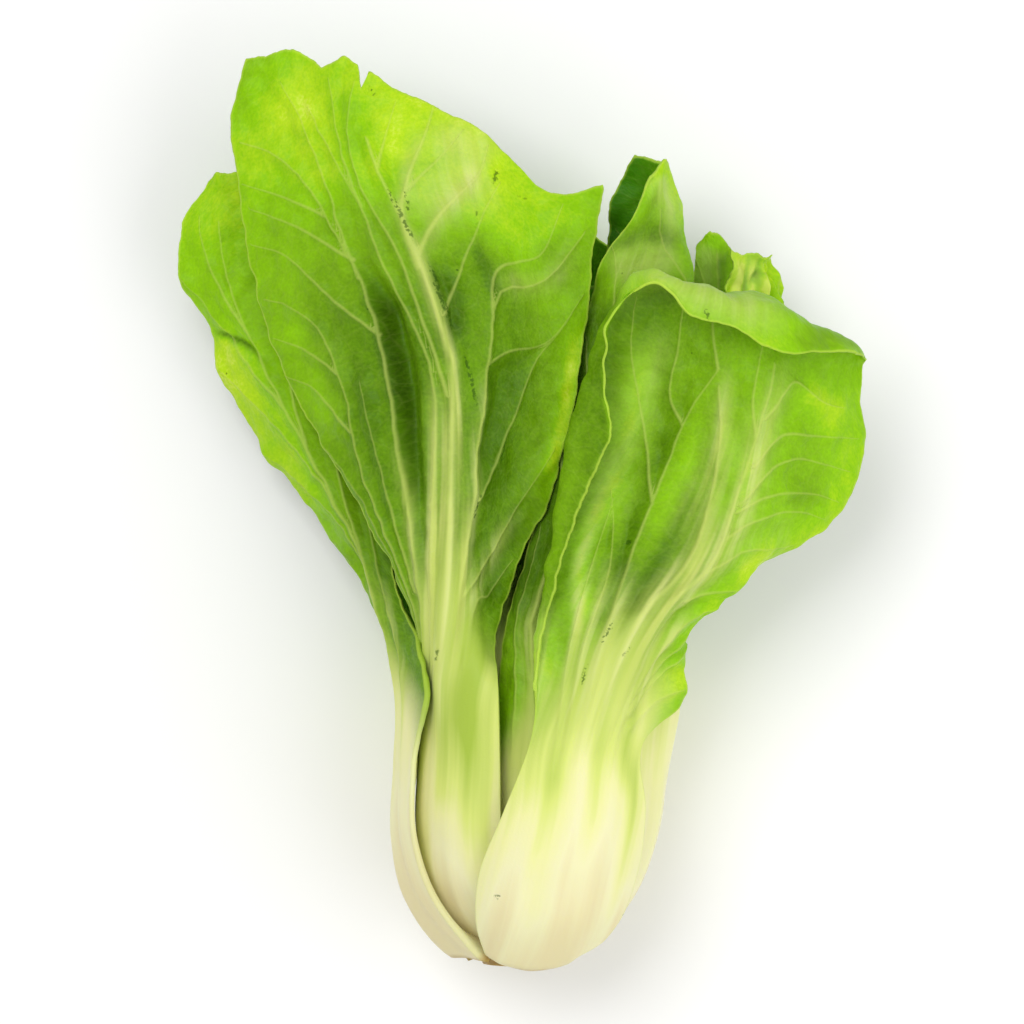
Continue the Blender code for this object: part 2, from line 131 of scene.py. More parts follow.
# The leaves. Places across, from the left margin to the right one seen from outside, and along,
# from foot to tip, are in per cent; lengths are in millimetres.
# The shape: "foot" and "top" are where the petiole starts and ends along the bulb, with the angles
# of its left and right margins round the axis; the swells are how far those margins bend out in
# between, in degrees. "foot_radius" is how far the foot stands off the axis. "layers" says how
# deep in the bulb it lies at left, middle and right, and "flesh" how full its petiole is. "guides"
# are the blade's curves, as in the CAD, for places across. "columns" and "rows" are how many faces
# its mesh has across and along.
# The outline: "foot_trims" cut the foot's corners back; "left_edge", "right_edge" and "tip" are
# how far the outline stands out at places along it; "raggedness" roughens it, "ruffle" waves it,
# and "crinkle" creases the blade near its tip.
# The shades: "greening" is where the white petiole turns into green blade, at five places across,
# and "ripeness" makes the petiole greener; on some leaves it also paints the light and shade on the
# petiole. "tones" are the blade's greens from 0, deep, to 100, yellow, at five places across for
# each place along; among them are painted shade in folds and in the recess between the front
# leaves, and painted sheen on pale shiny parts. "adaxial_tone" is added on its inner side.
# Lines, each as two numbers and its places across and along: "veins" have a half width and a
# height, "folds" a depth and a half width, and the others a strength and a half width. "streaks"
# change the petiole's ripeness, a few of them as painted shade, and "marks" shift the blade's greens:
# the dark ones paint the shade in folds and creases, the pale ones highlights on ridges and curled
# margins, and others are patches of the blade's own colour. "strands" are pale rays that run up from
# the petiole, and a few broad ones across a tip paint its sheen; "tears" are scratches in the skin.
LEAVES = {
    "front_leaf_right": {
        "flesh": 1, "foot": (-120.5, 118, 28), "top": (-60, 94, 43), "left_swell": 6.5, "right_swell": -4,
        "foot_radius": 15, "layers": (0.5, 0, 0),
        "guides": {
            0: (
                (6, -34, 67), (12, -18, 69), (20, 3, 73), (24, 18, 75), (22, 34, 76), (23, 46, 79),
                (27, 55, 82),
            ),
            10: (
                (5, -34, 65), (9, -9, 65), (13, 18, 67), (18, 37, 70), (24, 52, 74), (30, 60, 77),
                (34, 57, 83),
            ),
            22: (
                (12, -34, 66), (17, -12, 62), (23, 6, 60), (28, 22, 61), (33, 40, 66), (37, 57, 74),
                (41, 57, 80), (42, 50, 83),
            ),
            40: (
                (20, -36, 67), (27, -20, 64), (36, 0, 63), (43, 20, 65), (47, 38, 69), (50, 56, 75),
                (53, 54, 81), (54, 46, 83),
            ),
            60: (
                (28, -42, 65), (36, -28, 65), (48, -14, 66), (57, 4, 67), (63, 28, 69), (67, 51, 73),
                (68, 49, 79), (67, 40, 81),
            ),
            80: (
                (35, -43, 57), (42, -32, 58), (58, -17, 59), (70, 0, 57), (77, 22, 58), (81, 43, 63),
                (82, 44, 67), (83, 41, 70),
            ),
            100: (
                (42, -48, 49), (43, -37, 50), (42, -31, 52), (48, -22, 53), (64, -13, 52), (82, -2, 48),
                (90, 16, 46), (89, 30, 49), (88, 38, 57), (87, 39, 62),
            ),
        },
        "columns": 170, "rows": 270, "foot_trims": (4.5, 7),
        "left_edge": ((42, 0), (50, -1.6), (60, -2.8), (70, -2.8), (82, 0)),
        "right_edge": ((38, 0), (43, 0.9), (45.7, -1.2), (48.8, 2.6), (51.2, 0.6), (57, 0)),
        "tip": ((0, 0), (20, 0.4), (33, -0.6), (50, 0.5), (66, -0.5), (80, 1), (100, 0)),
        "raggedness": 0.3, "ruffle": 0.35, "greening": (36, 43, 50, 45.5, 36.5),
        # The last streak, along the left side of the petiole, paints the shade there.
        "streaks": (
            (0.11, 4, (88, 8), (88, 18), (88, 28), (86, 36)), (0.07, 3, (30, 14), (28, 24), (26, 34)),
            (0.06, 3, (58, 18), (58, 28), (58, 38)), (-0.07, 4, (42, 10), (42, 22), (42, 36)),
            (-0.08, 4, (72, 6), (73, 18), (74, 32)), (-0.07, 5, (16, 4), (17, 12), (18, 20), (18, 28)),
        ),
        "tones_light_and_shade": {
            40: (62, 60, 55, 62, 60), 55: (42, 50, 40, 72, 78), 70: (38, 50, 52, 70, 80),
            80: (36, 46, 62, 62, 78), 90: (42, 40, 55, 62, 72), 100: (75, 72, 74, 72, 75),
        },
        "adaxial_tone": 0,
        "veins": (
            (1.5, 0.9, (43, 26), (41, 42), (37, 53), (36, 66), (38, 77), (44, 83)),
            (0.8, 0.3, (44, 83), (41, 87), (41, 95)),
            (1, 0.6, (36, 65), (28, 72), (22, 78), (18, 84), (16, 91)),
            (0.9, 0.5, (37, 75.5), (30.5, 79), (29.5, 85), (31, 93)),
            (2.6, 0.8, (49, 26), (48, 42), (50, 51), (53, 58), (51, 67), (48, 76), (45, 81)),
            (2.4, 1, (58, 28), (58, 44), (56.5, 52), (60, 60), (57.5, 69), (58.5, 77), (60, 85)),
            (0.9, 0.4, (58.5, 76), (55, 81), (56, 88)),
            (1.4, 0.8, (68, 28), (68, 43), (70, 48), (73, 53), (80, 56)),
            (1.2, 0.8, (70, 41), (80, 48.5), (90, 53), (97, 54.5)),
            (1.4, 1, (70, 38), (80, 44.5), (90, 47.5), (98.5, 49)),
            (1.3, 1, (78, 36), (86, 40.5), (93, 42.5), (98.5, 43.2)),
            (0.8, 0.5, (60, 73), (67.5, 79), (76, 82), (86, 84.5), (96, 86)),
            (0.8, 0.6, (59.5, 68), (67, 74.5), (75, 78.5), (85, 80.5), (95, 81.5)),
            (0.8, 0.5, (60, 67), (71, 72.5), (86, 76.5), (96, 77.5)),
            (0.8, 0.5, (60, 63.5), (70, 69), (82, 73), (95, 74.5)),
            (0.8, 0.4, (60, 79), (67, 85), (78, 87), (88, 88.5)),
            (0.8, 0.4, (60, 58.5), (70, 64), (82, 67), (94, 69)), (0.8, 0.3, (62, 54), (75, 58.5), (90, 61)),
            (1, 0.6, (30, 28), (30, 42), (30.5, 49), (31, 55), (27, 61), (22, 66)),
            (0.9, 0.5, (22, 28), (22.5, 42), (23.5, 51), (24, 58), (23.5, 65)),
        ),
        "folds": (
            (1.6, 2, (34, 46), (34.5, 55), (31, 62)), (1.2, 3, (63, 64), (65, 72), (67, 80), (69, 87)),
            (1.2, 2, (63, 44), (66, 52), (68, 58)), (0.8, 2, (53, 45), (55, 54)),
        ),
        "strands": (
            (0.85, 3.2, (50, 30), (49, 44), (50, 52), (53, 60), (53, 67)),
            (0.75, 4.2, (59, 34), (58, 46), (57.5, 54), (60, 62), (60, 72), (61, 80), (64, 87)),
            (0.55, 2.4, (51.5, 60), (50, 70), (47.5, 78), (46, 84)),
            (0.75, 2.2, (41, 32), (40, 42), (38.5, 50), (37, 58)),
            (0.6, 1.6, (30, 32), (30, 42), (30.5, 50), (30, 58)),
            (0.5, 1.3, (23, 32), (23.5, 42), (24, 51), (24, 58)),
            (0.7, 2, (69, 32), (70, 44), (71, 50), (75, 54.5)),
            # This band across the tip paints the sheen of light on its waxy surface.
            (0.45, 6, (2, 95), (16, 96.5), (32, 96.5), (46, 96.5), (60, 96)),
            (0.5, 1.5, (20, 68), (20, 60), (20, 54), (25, 48), (28, 42)),
            (0.22, 5, (21, 60), (22, 70), (22, 78), (24, 88)),
            (0.45, 3.6, (12, 36), (10, 42), (9, 48), (10, 53)), (0.2, 4, (46, 60), (47, 70), (50, 78)),
            (0.24, 5, (72, 36), (82, 40), (90, 43), (97, 45)),
            (0.16, 6, (66, 60), (72, 65), (80, 68), (90, 70)),
        ),
        # The dark marks along the folds paint the shade in them, and the pale marks near the rolled left
        # margin paint the light on it.
        "marks": (
            (-0.16, 3, (44, 46), (45, 58), (44, 70)), (-0.14, 2.6, (33.5, 50), (33, 60), (33, 70), (35, 80)),
            (0.16, 3, (40, 58), (41, 68), (41, 78)), (0.2, 5, (72, 60), (80, 64), (92, 66)),
            (0.16, 5, (70, 86), (80, 87), (90, 86)), (-0.12, 5, (74, 73), (84, 76), (92, 78)),
            (0.25, 1.2, (0, 60), (0, 75), (0, 93)),
            (0.28, 2.4, (20, 70), (20, 62), (20, 56), (25, 50), (27, 45)),
            (0.24, 4, (12, 40), (10, 44), (9, 48), (10, 51)),
            (0.22, 6, (80, 38), (88, 42), (94, 45), (99, 47.5)), (0.14, 5, (56, 64), (58, 70), (58, 76)),
            (-0.22, 4, (58, 98.5), (68, 98.5), (80, 98), (92, 97)),
            (0.28, 4, (24, 60), (22.5, 70), (21, 80), (21, 87)), (0.06, 3, (7, 52), (7, 64), (7, 80)),
        ),
        "tears": (
            (1, 0.9, (32.8, 59), (33.6, 59.7), (34.2, 60)),
            (0.7, 0.8, (38.5, 45.5), (39.5, 47.5), (40.5, 50)), (0.7, 0.8, (33.5, 40.5), (34, 42), (35, 44)),
            (0.6, 0.8, (50.5, 44), (51.5, 45.5), (52, 47)), (0.7, 1, (12, 11.5), (14, 12), (17, 12)),
            (0.8, 0.9, (28, 98.5), (29, 99), (30, 100)),
        ),
    },
    "front_leaf_left": {
        "flesh": 1, "foot": (-113, 185, 100), "top": (-46, 173, 112), "foot_radius": 13.5,
        "layers": (1.2, 1, 1.6),
        "guides": {
            0: (
                (-27, -36, 43), (-29, -26, 49), (-35, -13, 49), (-45, 6, 47), (-57, 26, 44), (-69, 54, 42),
                (-74, 84, 43), (-76, 104, 46), (-72, 118, 50),
            ),
            25: ((-25, -28, 54), (-31, -4, 57), (-40, 26, 57), (-49, 56, 55), (-54, 88, 54), (-56, 119, 54)),
            50: (
                (-20, -28, 59), (-18, 0, 63), (-18, 26, 66), (-22, 50, 67), (-31, 76, 66), (-37, 96, 63),
                (-36, 112, 61),
            ),
            72: ((-13, -28, 58), (-8, 4, 59), (-5, 30, 60), (-4, 54, 61), (-8, 78, 61), (-13, 102, 59)),
            88: ((-9, -28, 56), (-3, 0, 56), (4, 27, 57), (8, 53, 58), (7, 72, 59), (5, 84, 58)),
            100: (
                (-6, -32, 54), (-2, -16, 54), (7, 3, 55), (13, 26, 57), (17, 52, 58), (19, 70, 58),
                (21, 85, 58),
            ),
        },
        "columns": 170, "rows": 270,
        "left_edge": ((11, 0), (16, 1.4), (24, 1.4), (32, 0)),
        "tip": (
            (0, 0), (10, 0.3), (20, 1.3), (30, -2.6), (34, -0.6), (38, 2.2), (42.5, 1.4), (44, -5), (46, 1),
            (55, -1.5), (65, -2.8), (71, -2.2), (76, 0.6), (82, 2.6), (84.5, 3), (87, 0.8), (93, -1.6),
            (100, 0),
        ),
        "raggedness": 0.5, "greening": (36, 42, 48, 42, 38), "ripeness_light_and_shade": 0.09,
        "streaks": (
            (0.1, 6, (72, 8), (72, 18), (72, 28), (68, 36)),
            (-0.14, 3, (36, 12), (38, 22), (42, 32), (45, 40)), (0.05, 2.5, (50, 14), (52, 26), (54, 36)),
            (-0.08, 6, (60, 2), (60, 8), (60, 14), (60, 20)),
        ),
        # The pale upper right of the last rows paints the sheen there.
        "tones_light_and_shade": {
            40: (45, 40, 45, 40, 45), 55: (44, 42, 38, 30, 50), 70: (53, 37, 38, 36, 60),
            80: (64, 53, 46, 40, 64), 90: (74, 82, 75, 82, 62), 100: (64, 76, 87, 92, 64),
        },
        "adaxial_tone": -0.2,
        "veins": (
            (3, 1.6, (50, 26), (50, 45), (49, 55), (50.5, 64), (52.5, 69), (50.8, 73.5), (51, 78.5),
             (50.7, 83), (48.7, 87.7), (47, 93)),
            (1.4, 1.4, (26, 30), (26, 41), (29, 47), (31, 57), (34, 68), (34, 76), (27, 84), (13, 90),
             (3, 91.5)),
            (0.9, 0.7, (34.5, 71), (26, 74.5), (12, 80), (2, 81.5)),
            (0.9, 0.7, (33, 79), (18, 82.5), (3, 85)), (0.8, 0.6, (27, 83.5), (12, 86), (2, 87.5)),
            (0.8, 0.4, (33, 77), (30, 85), (24, 92), (16, 97)),
            (1.5, 0.9, (39, 30), (38, 42), (40, 50), (43.5, 58), (45.5, 68), (41, 77), (39, 85), (31, 91),
             (25, 94.5)),
            (0.8, 0.4, (39, 85), (36, 92), (33, 98)),
            (1.1, 0.7, (49, 65), (46, 74), (45.5, 81), (41, 87), (40.5, 93), (42, 98.5)),
            (1.2, 0.9, (14, 32), (15, 44), (13, 56), (20, 66), (19, 71), (12, 74.5), (3, 76)),
            (0.8, 0.5, (16, 61), (9, 66), (1, 68)), (0.8, 0.5, (20, 67), (12, 70), (2, 72)),
            (1, 0.6, (7, 33), (8, 44), (5, 53), (1, 60)), (1, 0.5, (21, 44), (22, 52), (24, 60), (26, 66)),
            (2, 1.3, (50, 79), (50.5, 85), (54.5, 89), (60, 94.5), (63, 99)),
            (0.9, 0.5, (55, 88.5), (63, 93), (69, 97.5)),
            (1.8, 1.2, (50.5, 80), (58, 85), (65, 89), (71.5, 93.5), (75, 98)),
            (0.9, 0.4, (53, 74), (61, 80), (69, 87), (76, 94)), (0.8, 0.4, (48.5, 90), (52, 94), (54, 98)),
            (1.5, 1.3, (58, 30), (58, 42), (60, 50), (61, 60), (65, 69), (67.5, 76.5), (79, 83), (87, 88),
             (97, 94)),
            (1, 0.6, (67, 75), (68, 79), (77, 85), (86, 91), (92, 98)),
            (0.8, 0.6, (60.5, 53), (73, 60), (79, 67), (85, 77), (95, 84)),
            (0.8, 0.5, (60, 43), (74, 47.5), (85, 53), (92, 60), (97, 66)),
            (0.7, 0.4, (66, 70), (78, 75), (88, 80), (98, 86)),
            (0.8, 0.3, (70, 36), (72, 42), (86, 46), (96, 51)),
        ),
        "folds": (
            (5, 3, (32, 48), (34.5, 57), (37.5, 66), (37.5, 74), (34, 81)),
            (2.2, 3, (67, 57), (71, 66), (72.5, 73)), (1.6, 1.6, (54, 70), (55.5, 76), (54.5, 80)),
            (1.6, 2.2, (53, 86), (52, 90), (53, 94)), (1.2, 2, (71, 86), (70, 90), (72, 95)),
            (1.2, 2.4, (60, 80), (66, 84)),
        ),
        "strands": (
            (1, 5, (44, 22), (45, 32), (46, 40), (47, 48), (48, 55)),
            (0.85, 2.6, (47, 42), (48.5, 52), (49.5, 60), (51.5, 67)),
            (0.75, 1.6, (50, 58), (52.5, 69), (50.8, 74), (50.8, 82), (49, 87)),
            # These broad pale bands in the upper right paint its sheen as well as its pale veins.
            (0.5, 8, (57, 84), (62, 89), (69, 92), (74, 95)), (0.45, 5, (60, 94), (70, 96.5), (78, 98)),
            (0.7, 2, (38, 34), (38.5, 44), (40.5, 52), (43.5, 60), (45, 68)),
            (0.5, 1.6, (27, 36), (27, 44), (29.5, 52), (31, 60)),
            (0.6, 1.8, (59, 32), (60, 42), (61, 52), (62, 62), (65, 70)),
            (0.55, 1.6, (54, 28), (54.5, 36), (55, 44), (55, 50)),
            (0.45, 2.2, (62, 40), (74, 46), (84, 52), (92, 58)),
            (0.4, 2.4, (52, 80), (60, 86), (68, 91), (74, 97)), (0.35, 2, (50, 84), (55, 90), (61, 96)),
            (0.26, 3, (68, 79), (78, 83), (88, 88), (96, 93)),
        ),
        # The dark mark along the big fold paints the shade in it, and the pale mark along the right margin
        # paints the sheen on that strip.
        "marks": (
            (-0.32, 2.4, (33, 52), (34.5, 60), (35.5, 67), (36, 74), (34.5, 80)),
            (-0.1, 4, (20, 50), (24, 60), (27, 70)), (0.14, 5, (8, 58), (8, 68), (12, 78)),
            (-0.2, 3, (56, 70), (57, 76), (55, 81)), (-0.07, 4, (70, 52), (74, 62), (77, 70), (80, 77)),
            (0.3, 2.4, (97, 58), (97.5, 66), (97, 74), (96.5, 84)), (-0.16, 4, (88, 42), (90, 50), (92, 58)),
            (0.08, 5, (52, 90), (54, 94), (55, 98.5)), (-0.1, 4, (44, 90), (43, 94), (42, 98)),
            (-0.16, 2, (69, 77), (67.5, 81), (66, 85)),
            (-0.12, 2, (52.2, 80.5), (53.2, 78.5), (53, 76.5), (55.5, 71.5)),
            (-0.14, 6, (84, 92), (90, 90), (94, 86)), (0.12, 6, (10, 92), (20, 95), (30, 93)),
        ),
        "tears": (
            (1, 0.6, (48.6, 88.5), (50, 85.5), (50.8, 83.5), (51.5, 81.2)),
            (1, 0.9, (52.2, 80.5), (53.2, 78.5), (53, 76.5), (54.5, 73.5), (55.5, 71.2)),
            (0.9, 0.7, (56, 70.8), (58.5, 68.5), (60, 66), (60, 63.5)),
            (0.7, 0.8, (52, 84.8), (53, 86.5), (53.5, 89)), (0.6, 0.6, (66, 84), (68.5, 87.5), (70, 91)),
            (0.8, 0.9, (73.5, 92.5), (75.5, 94.5), (77, 97)),
            (0.7, 0.7, (46, 99.2), (47.5, 98.2), (49, 98.2)), (0.5, 0.6, (80, 95.5), (83, 96.5), (86, 98.5)),
            (0.7, 0.8, (62, 51.5), (63, 53.5), (64, 56)), (0.7, 0.8, (76, 60), (76.5, 62), (77, 64)),
            (0.6, 0.8, (47, 36), (47.5, 37.5), (48.5, 38.5)),
        ),
    },
    "outer_leaf_left": {
        "flesh": 1, "foot": (-118, 197, 120), "top": (-46, 215, 146), "right_swell": 16, "foot_radius": 17,
        "layers": (-0.1, -0.1, 0),
        "guides": {
            0: (
                (-35, -34, 25), (-40, -24, 26), (-52, -6, 23), (-69, 17, 20), (-81, 38, 21), (-84, 50, 24),
                (-91, 63, 28), (-90, 76, 31), (-83, 88, 33),
            ),
            50: ((-36, -32, 34), (-42, -12, 36), (-54, 12, 36), (-67, 36, 34), (-77, 62, 33), (-79, 90, 36)),
            100: ((-28, -34, 51), (-32, -23, 43), (-37, 2, 38), (-47, 36, 38), (-56, 64, 37), (-67, 90, 36)),
        },
        "columns": 110, "rows": 220, "foot_trims": (6, 0),
        "right_edge": ((12, 0), (17, 0.9), (24, 1.2), (31, 0)),
        "tip": ((0, 0), (30, 0.4), (60, -0.5), (100, 0)), "raggedness": 0.6, "ruffle": 0.35,
        # Its lowered ripeness and the streak along its right edge paint the shade on this petiole.
        "greening": (30, 36, 38, 34, 29), "ripeness_light_and_shade": -0.03,
        "streaks": ((-0.07, 8, (90, 2), (90, 10), (90, 18), (88, 26)),),
        "tones_light_and_shade": {
            36: (56, 54, 50, 38, 33), 50: (58, 56, 48, 38, 28), 65: (80, 80, 64, 48, 38),
            77.5: (92, 92, 74, 58, 52), 83: (70, 66, 64, 60, 58), 100: (80, 78, 80, 84, 84),
        },
        "adaxial_tone": -0.1,
        "veins": (
            (1.6, 0.9, (55, 28), (55, 42), (52, 55), (52, 68), (50, 80), (46, 94)),
            (0.9, 0.5, (53, 46), (36, 55), (16, 62), (2, 66)),
            (0.9, 0.5, (52, 56), (36, 66), (18, 73), (3, 77)),
            (0.8, 0.5, (51, 70), (34, 78), (16, 84), (3, 88)), (0.8, 0.4, (50, 80), (36, 88), (22, 95)),
            (0.8, 0.5, (54, 50), (68, 60), (82, 68), (97, 74)),
            (0.8, 0.4, (52, 64), (66, 74), (80, 82), (96, 88)),
            (0.8, 0.5, (40, 28), (38, 40), (22, 48), (5, 54)),
            (0.9, 0.5, (72, 28), (74, 44), (80, 54), (92, 60)),
        ),
        "folds": ((1.2, 1.6, (2, 81.5), (25, 80), (45, 78), (60, 75)), (1, 3, (80, 50), (84, 62), (84, 74))),
        "strands": ((0.5, 2, (56, 30), (55, 40), (53, 50)), (0.4, 1.6, (74, 28), (75, 40), (78, 48))),
        # This dark line paints the shade under the crease.
        "marks": ((-0.5, 0.9, (2, 81.2), (25, 80), (42, 78.5), (55, 75.5)),),
    },
    "outer_leaf_right": {
        "flesh": 1, "foot": (-118, 24, -42), "top": (-46, 54, -40), "foot_radius": 15.5,
        "layers": (1.2, 0.3, 0),
        "guides": {
            0: ((36, -28, 46), (40, -5, 43), (46, 20, 42), (51, 46, 40), (56, 69, 39)),
            50: ((42, -30, 34), (50, -8, 31), (59, 18, 30), (65, 44, 31), (64, 68, 36)),
            100: ((38, -32, 17), (49, -14, 14), (61, 6, 13), (70, 28, 16), (70, 50, 22), (67, 67, 30)),
        },
        "columns": 110, "rows": 200, "foot_trims": (0, 5),
        "tip": ((0, 0), (15, -1.2), (35, 0.8), (55, -1), (75, 0.8), (100, 0)),
        "raggedness": 1, "crinkle": 0.7, "greening": (34, 38, 42, 38, 34), "ripeness_light_and_shade": -0.03,
        "tones_light_and_shade": {
            40: (62, 60, 55, 60, 62), 60: (40, 38, 40, 38, 42), 85: (64, 64, 64, 64, 64),
            100: (84, 82, 80, 82, 84),
        },
        "adaxial_tone": -0.2,
        "folds": (
            (2.6, 1.5, (12, 90), (24, 95), (22, 100)), (2.4, 1.3, (44, 90), (38, 95), (44, 100)),
            (2.2, 1.3, (70, 90), (60, 96), (66, 100)), (1.6, 1.1, (26, 94), (36, 96.5), (52, 97)),
            (1.8, 1.2, (82, 88), (86, 95), (80, 100)),
        ),
        "strands": (
            (0.7, 3.5, (50, 30), (50, 45), (50, 62)), (0.4, 6, (0, 95), (15, 96), (30, 96.5), (55, 97)),
        ),
        # The dark marks along the creases paint the shade in them, and the pale ones beside them paint the
        # light on the ridges.
        "marks": (
            (-0.35, 0.8, (13, 90), (25, 95), (23, 100)), (-0.3, 0.7, (45, 90), (39, 95), (45, 100)),
            (-0.3, 0.7, (27, 94), (37, 96.5), (53, 97)), (0.3, 2.2, (30, 91), (33, 95), (32, 99)),
            (0.3, 2, (8, 93), (14, 97), (14, 100)), (0.25, 2, (54, 90), (50, 94), (56, 99)),
        ),
    },
    "inner_leaf_rolled": {
        "flesh": 0.85, "foot": (-105, 121, 49), "top": (-46, 121, 45), "foot_radius": 11.5,
        "layers": (3, 2.3, 3),
        "guides": {
            0: (
                (-5, -30, 51), (2, -7, 51), (10, 24, 51), (16, 50, 52), (22, 68, 56), (29, 77, 58),
                (34, 86, 60),
            ),
            35: (
                (2, -30, 57), (9, -8, 56), (17, 22, 55), (25, 48, 56), (32, 66, 58), (36, 78, 59),
                (38, 91, 57),
            ),
            60: (
                (10, -30, 56), (18, -6, 53), (27, 22, 51), (37, 46, 50), (45, 63, 49), (43, 76, 49),
                (39, 91, 51),
            ),
            80: (
                (14, -30, 48), (18, -6, 44), (25, 22, 42), (32, 46, 40), (37, 66, 39), (37, 81, 41),
                (35, 93, 46),
            ),
            100: (
                (17, -30, 42), (13, -8, 38), (14, 19, 37), (18, 44, 36), (22, 65, 36), (24, 82, 38),
                (30, 94, 43),
            ),
        },
        "columns": 120, "rows": 210, "tip": ((0, 0), (30, 0.5), (60, -0.4), (100, 0)), "raggedness": 0.4,
        "ruffle": 0.5, "greening": (22, 30, 36, 30, 20), "ripeness_light_and_shade": 0.07,
        # Its dark middle rows paint the shade deep between the front leaves, where this leaf lies.
        "tones_light_and_shade": {
            30: (64, 66, 64, 60, 56), 50: (22, 20, 22, 30, 30), 70: (15, 12, 14, 20, 22),
            80: (30, 34, 34, 28, 25), 84: (56, 58, 54, 48, 40), 88: (58, 62, 60, 56, 45),
            90.5: (40, 34, 52, 70, 45), 95: (62, 52, 80, 80, 45), 100: (80, 84, 84, 80, 45),
        },
        "adaxial_tone": -0.2,
        "veins": (
            (1.6, 0.8, (36, 20), (36, 40), (36, 60), (42, 74), (58, 83), (50, 86.5), (40, 90), (33, 94)),
            (0.8, 0.4, (36, 50), (22, 60), (8, 66), (1, 68)),
            (0.8, 0.4, (37, 62), (22, 72), (8, 78), (1, 80)),
            (0.8, 0.4, (40, 72), (26, 82), (12, 88), (2, 90)),
            (0.8, 0.4, (37, 48), (52, 60), (70, 70), (95, 78)),
            (0.8, 0.4, (42, 66), (60, 76), (80, 84), (97, 90)), (0.7, 0.4, (58, 83), (72, 90), (86, 96)),
            (0.9, 0.4, (20, 22), (18, 42), (10, 54)), (0.9, 0.4, (55, 22), (58, 44), (72, 58)),
        ),
        "strands": (
            (0.6, 3, (36, 22), (36, 34), (36, 46)), (0.5, 5, (10, 86), (30, 87), (52, 88)),
            (0.5, 4, (50, 90), (44, 94), (34, 97), (24, 99)),
        ),
        "marks": ((-0.14, 3, (30, 91.5), (40, 90.5), (52, 90)),),
    },
    "inner_leaf_right": {
        "flesh": 0.85, "foot": (-105, 37, -29), "top": (-46, 36, -29), "foot_radius": 11.5,
        "layers": (3, 2.3, 3),
        "guides": {
            0: ((22, -28, 42), (33, 0, 37), (41, 30, 33), (45, 54, 32), (46, 71, 34)),
            50: ((30, -28, 33), (40, 0, 29), (48, 30, 27), (52, 54, 29), (51, 74, 36)),
            100: ((28, -28, 22), (42, 0, 20), (54, 28, 20), (59, 50, 24), (57, 68, 31)),
        },
        "columns": 90, "rows": 170,
        "tones_light_and_shade": {
            35: (60, 60, 55, 60, 60), 60: (40, 40, 40, 40, 40), 90: (66, 64, 60, 62, 62),
            100: (72, 72, 66, 70, 72),
        },
        "strands": ((0.7, 3.5, (50, 30), (50, 45), (50, 62)), (0.35, 6, (6, 90), (20, 95), (45, 98))),
    },
    "inner_leaf_left": {
        "flesh": 0.85, "foot": (-105, 227, 133), "top": (-46, 228, 133), "foot_radius": 11.5,
        "layers": (3, 2.3, 3),
        "guides": {
            0: ((-18, -28, 16), (-29, 0, 15), (-41, 30, 15), (-49, 60, 19), (-45, 84, 26)),
            50: ((-23, -28, 35), (-30, 0, 36), (-38, 30, 36), (-43, 62, 36), (-38, 92, 38)),
            100: ((-11, -28, 46), (-12, 0, 47), (-15, 30, 47), (-20, 60, 46), (-28, 86, 43)),
        },
        "columns": 100, "rows": 180,
    },
    "inner_leaf_back": {
        "flesh": 0.85, "foot": (-105, -41, -121), "top": (-46, -39, -122), "foot_radius": 11.5,
        "layers": (3, 2.3, 3),
        "guides": {
            0: ((24, -28, 19), (34, 0, 17), (42, 26, 15), (44, 48, 17), (36, 64, 22)),
            50: ((6, -30, 10), (8, 0, 10), (10, 32, 10), (8, 60, 12), (3, 83, 17)),
            100: ((-13, -28, 15), (-19, 0, 13), (-26, 30, 12), (-31, 58, 14), (-27, 80, 20)),
        },
        "columns": 100, "rows": 180,
    },
    "back_leaf_left": {
        "flesh": 1, "foot": (-119, 246, 203), "top": (-46, 268, 202), "foot_radius": 15.5,
        "layers": (0, 0, 1.2),
        "guides": {
            0: ((-1, -30, 4), (-3, -4, 4), (-7, 28, 4), (-12, 60, 5), (-20, 83, 8), (-32, 104, 10)),
            50: ((-20, -32, 1), (-27, -7, 0), (-35, 25, 0), (-43, 58, 1), (-48, 82, 3), (-51, 107, 9)),
            100: (
                (-33, -32, 14), (-41, -12, 5), (-51, 12, 1), (-60, 38, 0), (-65, 66, 2), (-66, 86, 5),
                (-62, 103, 10),
            ),
        },
        "columns": 110, "rows": 200,
    },
    "back_leaf_right": {
        "flesh": 1, "foot": (-118.5, 312, 252), "top": (-46, 330, 250), "foot_radius": 15.5,
        "layers": (1.3, 0.4, 1.2),
        "guides": {
            0: ((35, -30, 11), (48, -18, 3), (62, -2, 1), (74, 16, 0), (79, 32, 3), (72, 46, 9)),
            50: ((19, -34, 2), (29, -11, 0), (40, 10, 0), (50, 30, 2), (59, 51, 8)),
            100: ((1, -33, 5), (7, -7, 5), (15, 17, 5), (25, 38, 5), (40, 54, 9)),
        },
        "columns": 110, "rows": 180,
    },
    "heart_leaf_upper": {
        "flesh": 0.7, "foot": (-99, 188, 72), "top": (-46, 190, 72), "foot_radius": 8.2,
        "layers": (4, 3.6, 4),
        "guides": {
            0: ((-13, -26, 30), (-17, 0, 28), (-19, 28, 27), (-14, 54, 30)),
            50: ((-6, -26, 44), (-6, 2, 43), (-6, 32, 41), (-5, 62, 38)),
            100: ((4, -26, 42), (2, 0, 40), (2, 28, 37), (1, 52, 35)),
        },
        "columns": 70, "rows": 130,
    },
    "heart_leaf_lower": {
        "flesh": 0.7, "foot": (-99, 20, -108), "top": (-46, 15, -110), "foot_radius": 8.2,
        "layers": (4, 3.6, 4),
        "guides": {
            0: ((19, -26, 33), (21, 0, 28), (22, 26, 25), (18, 50, 27)),
            50: ((10, -26, 20), (9, 0, 19), (7, 30, 19), (5, 58, 23)),
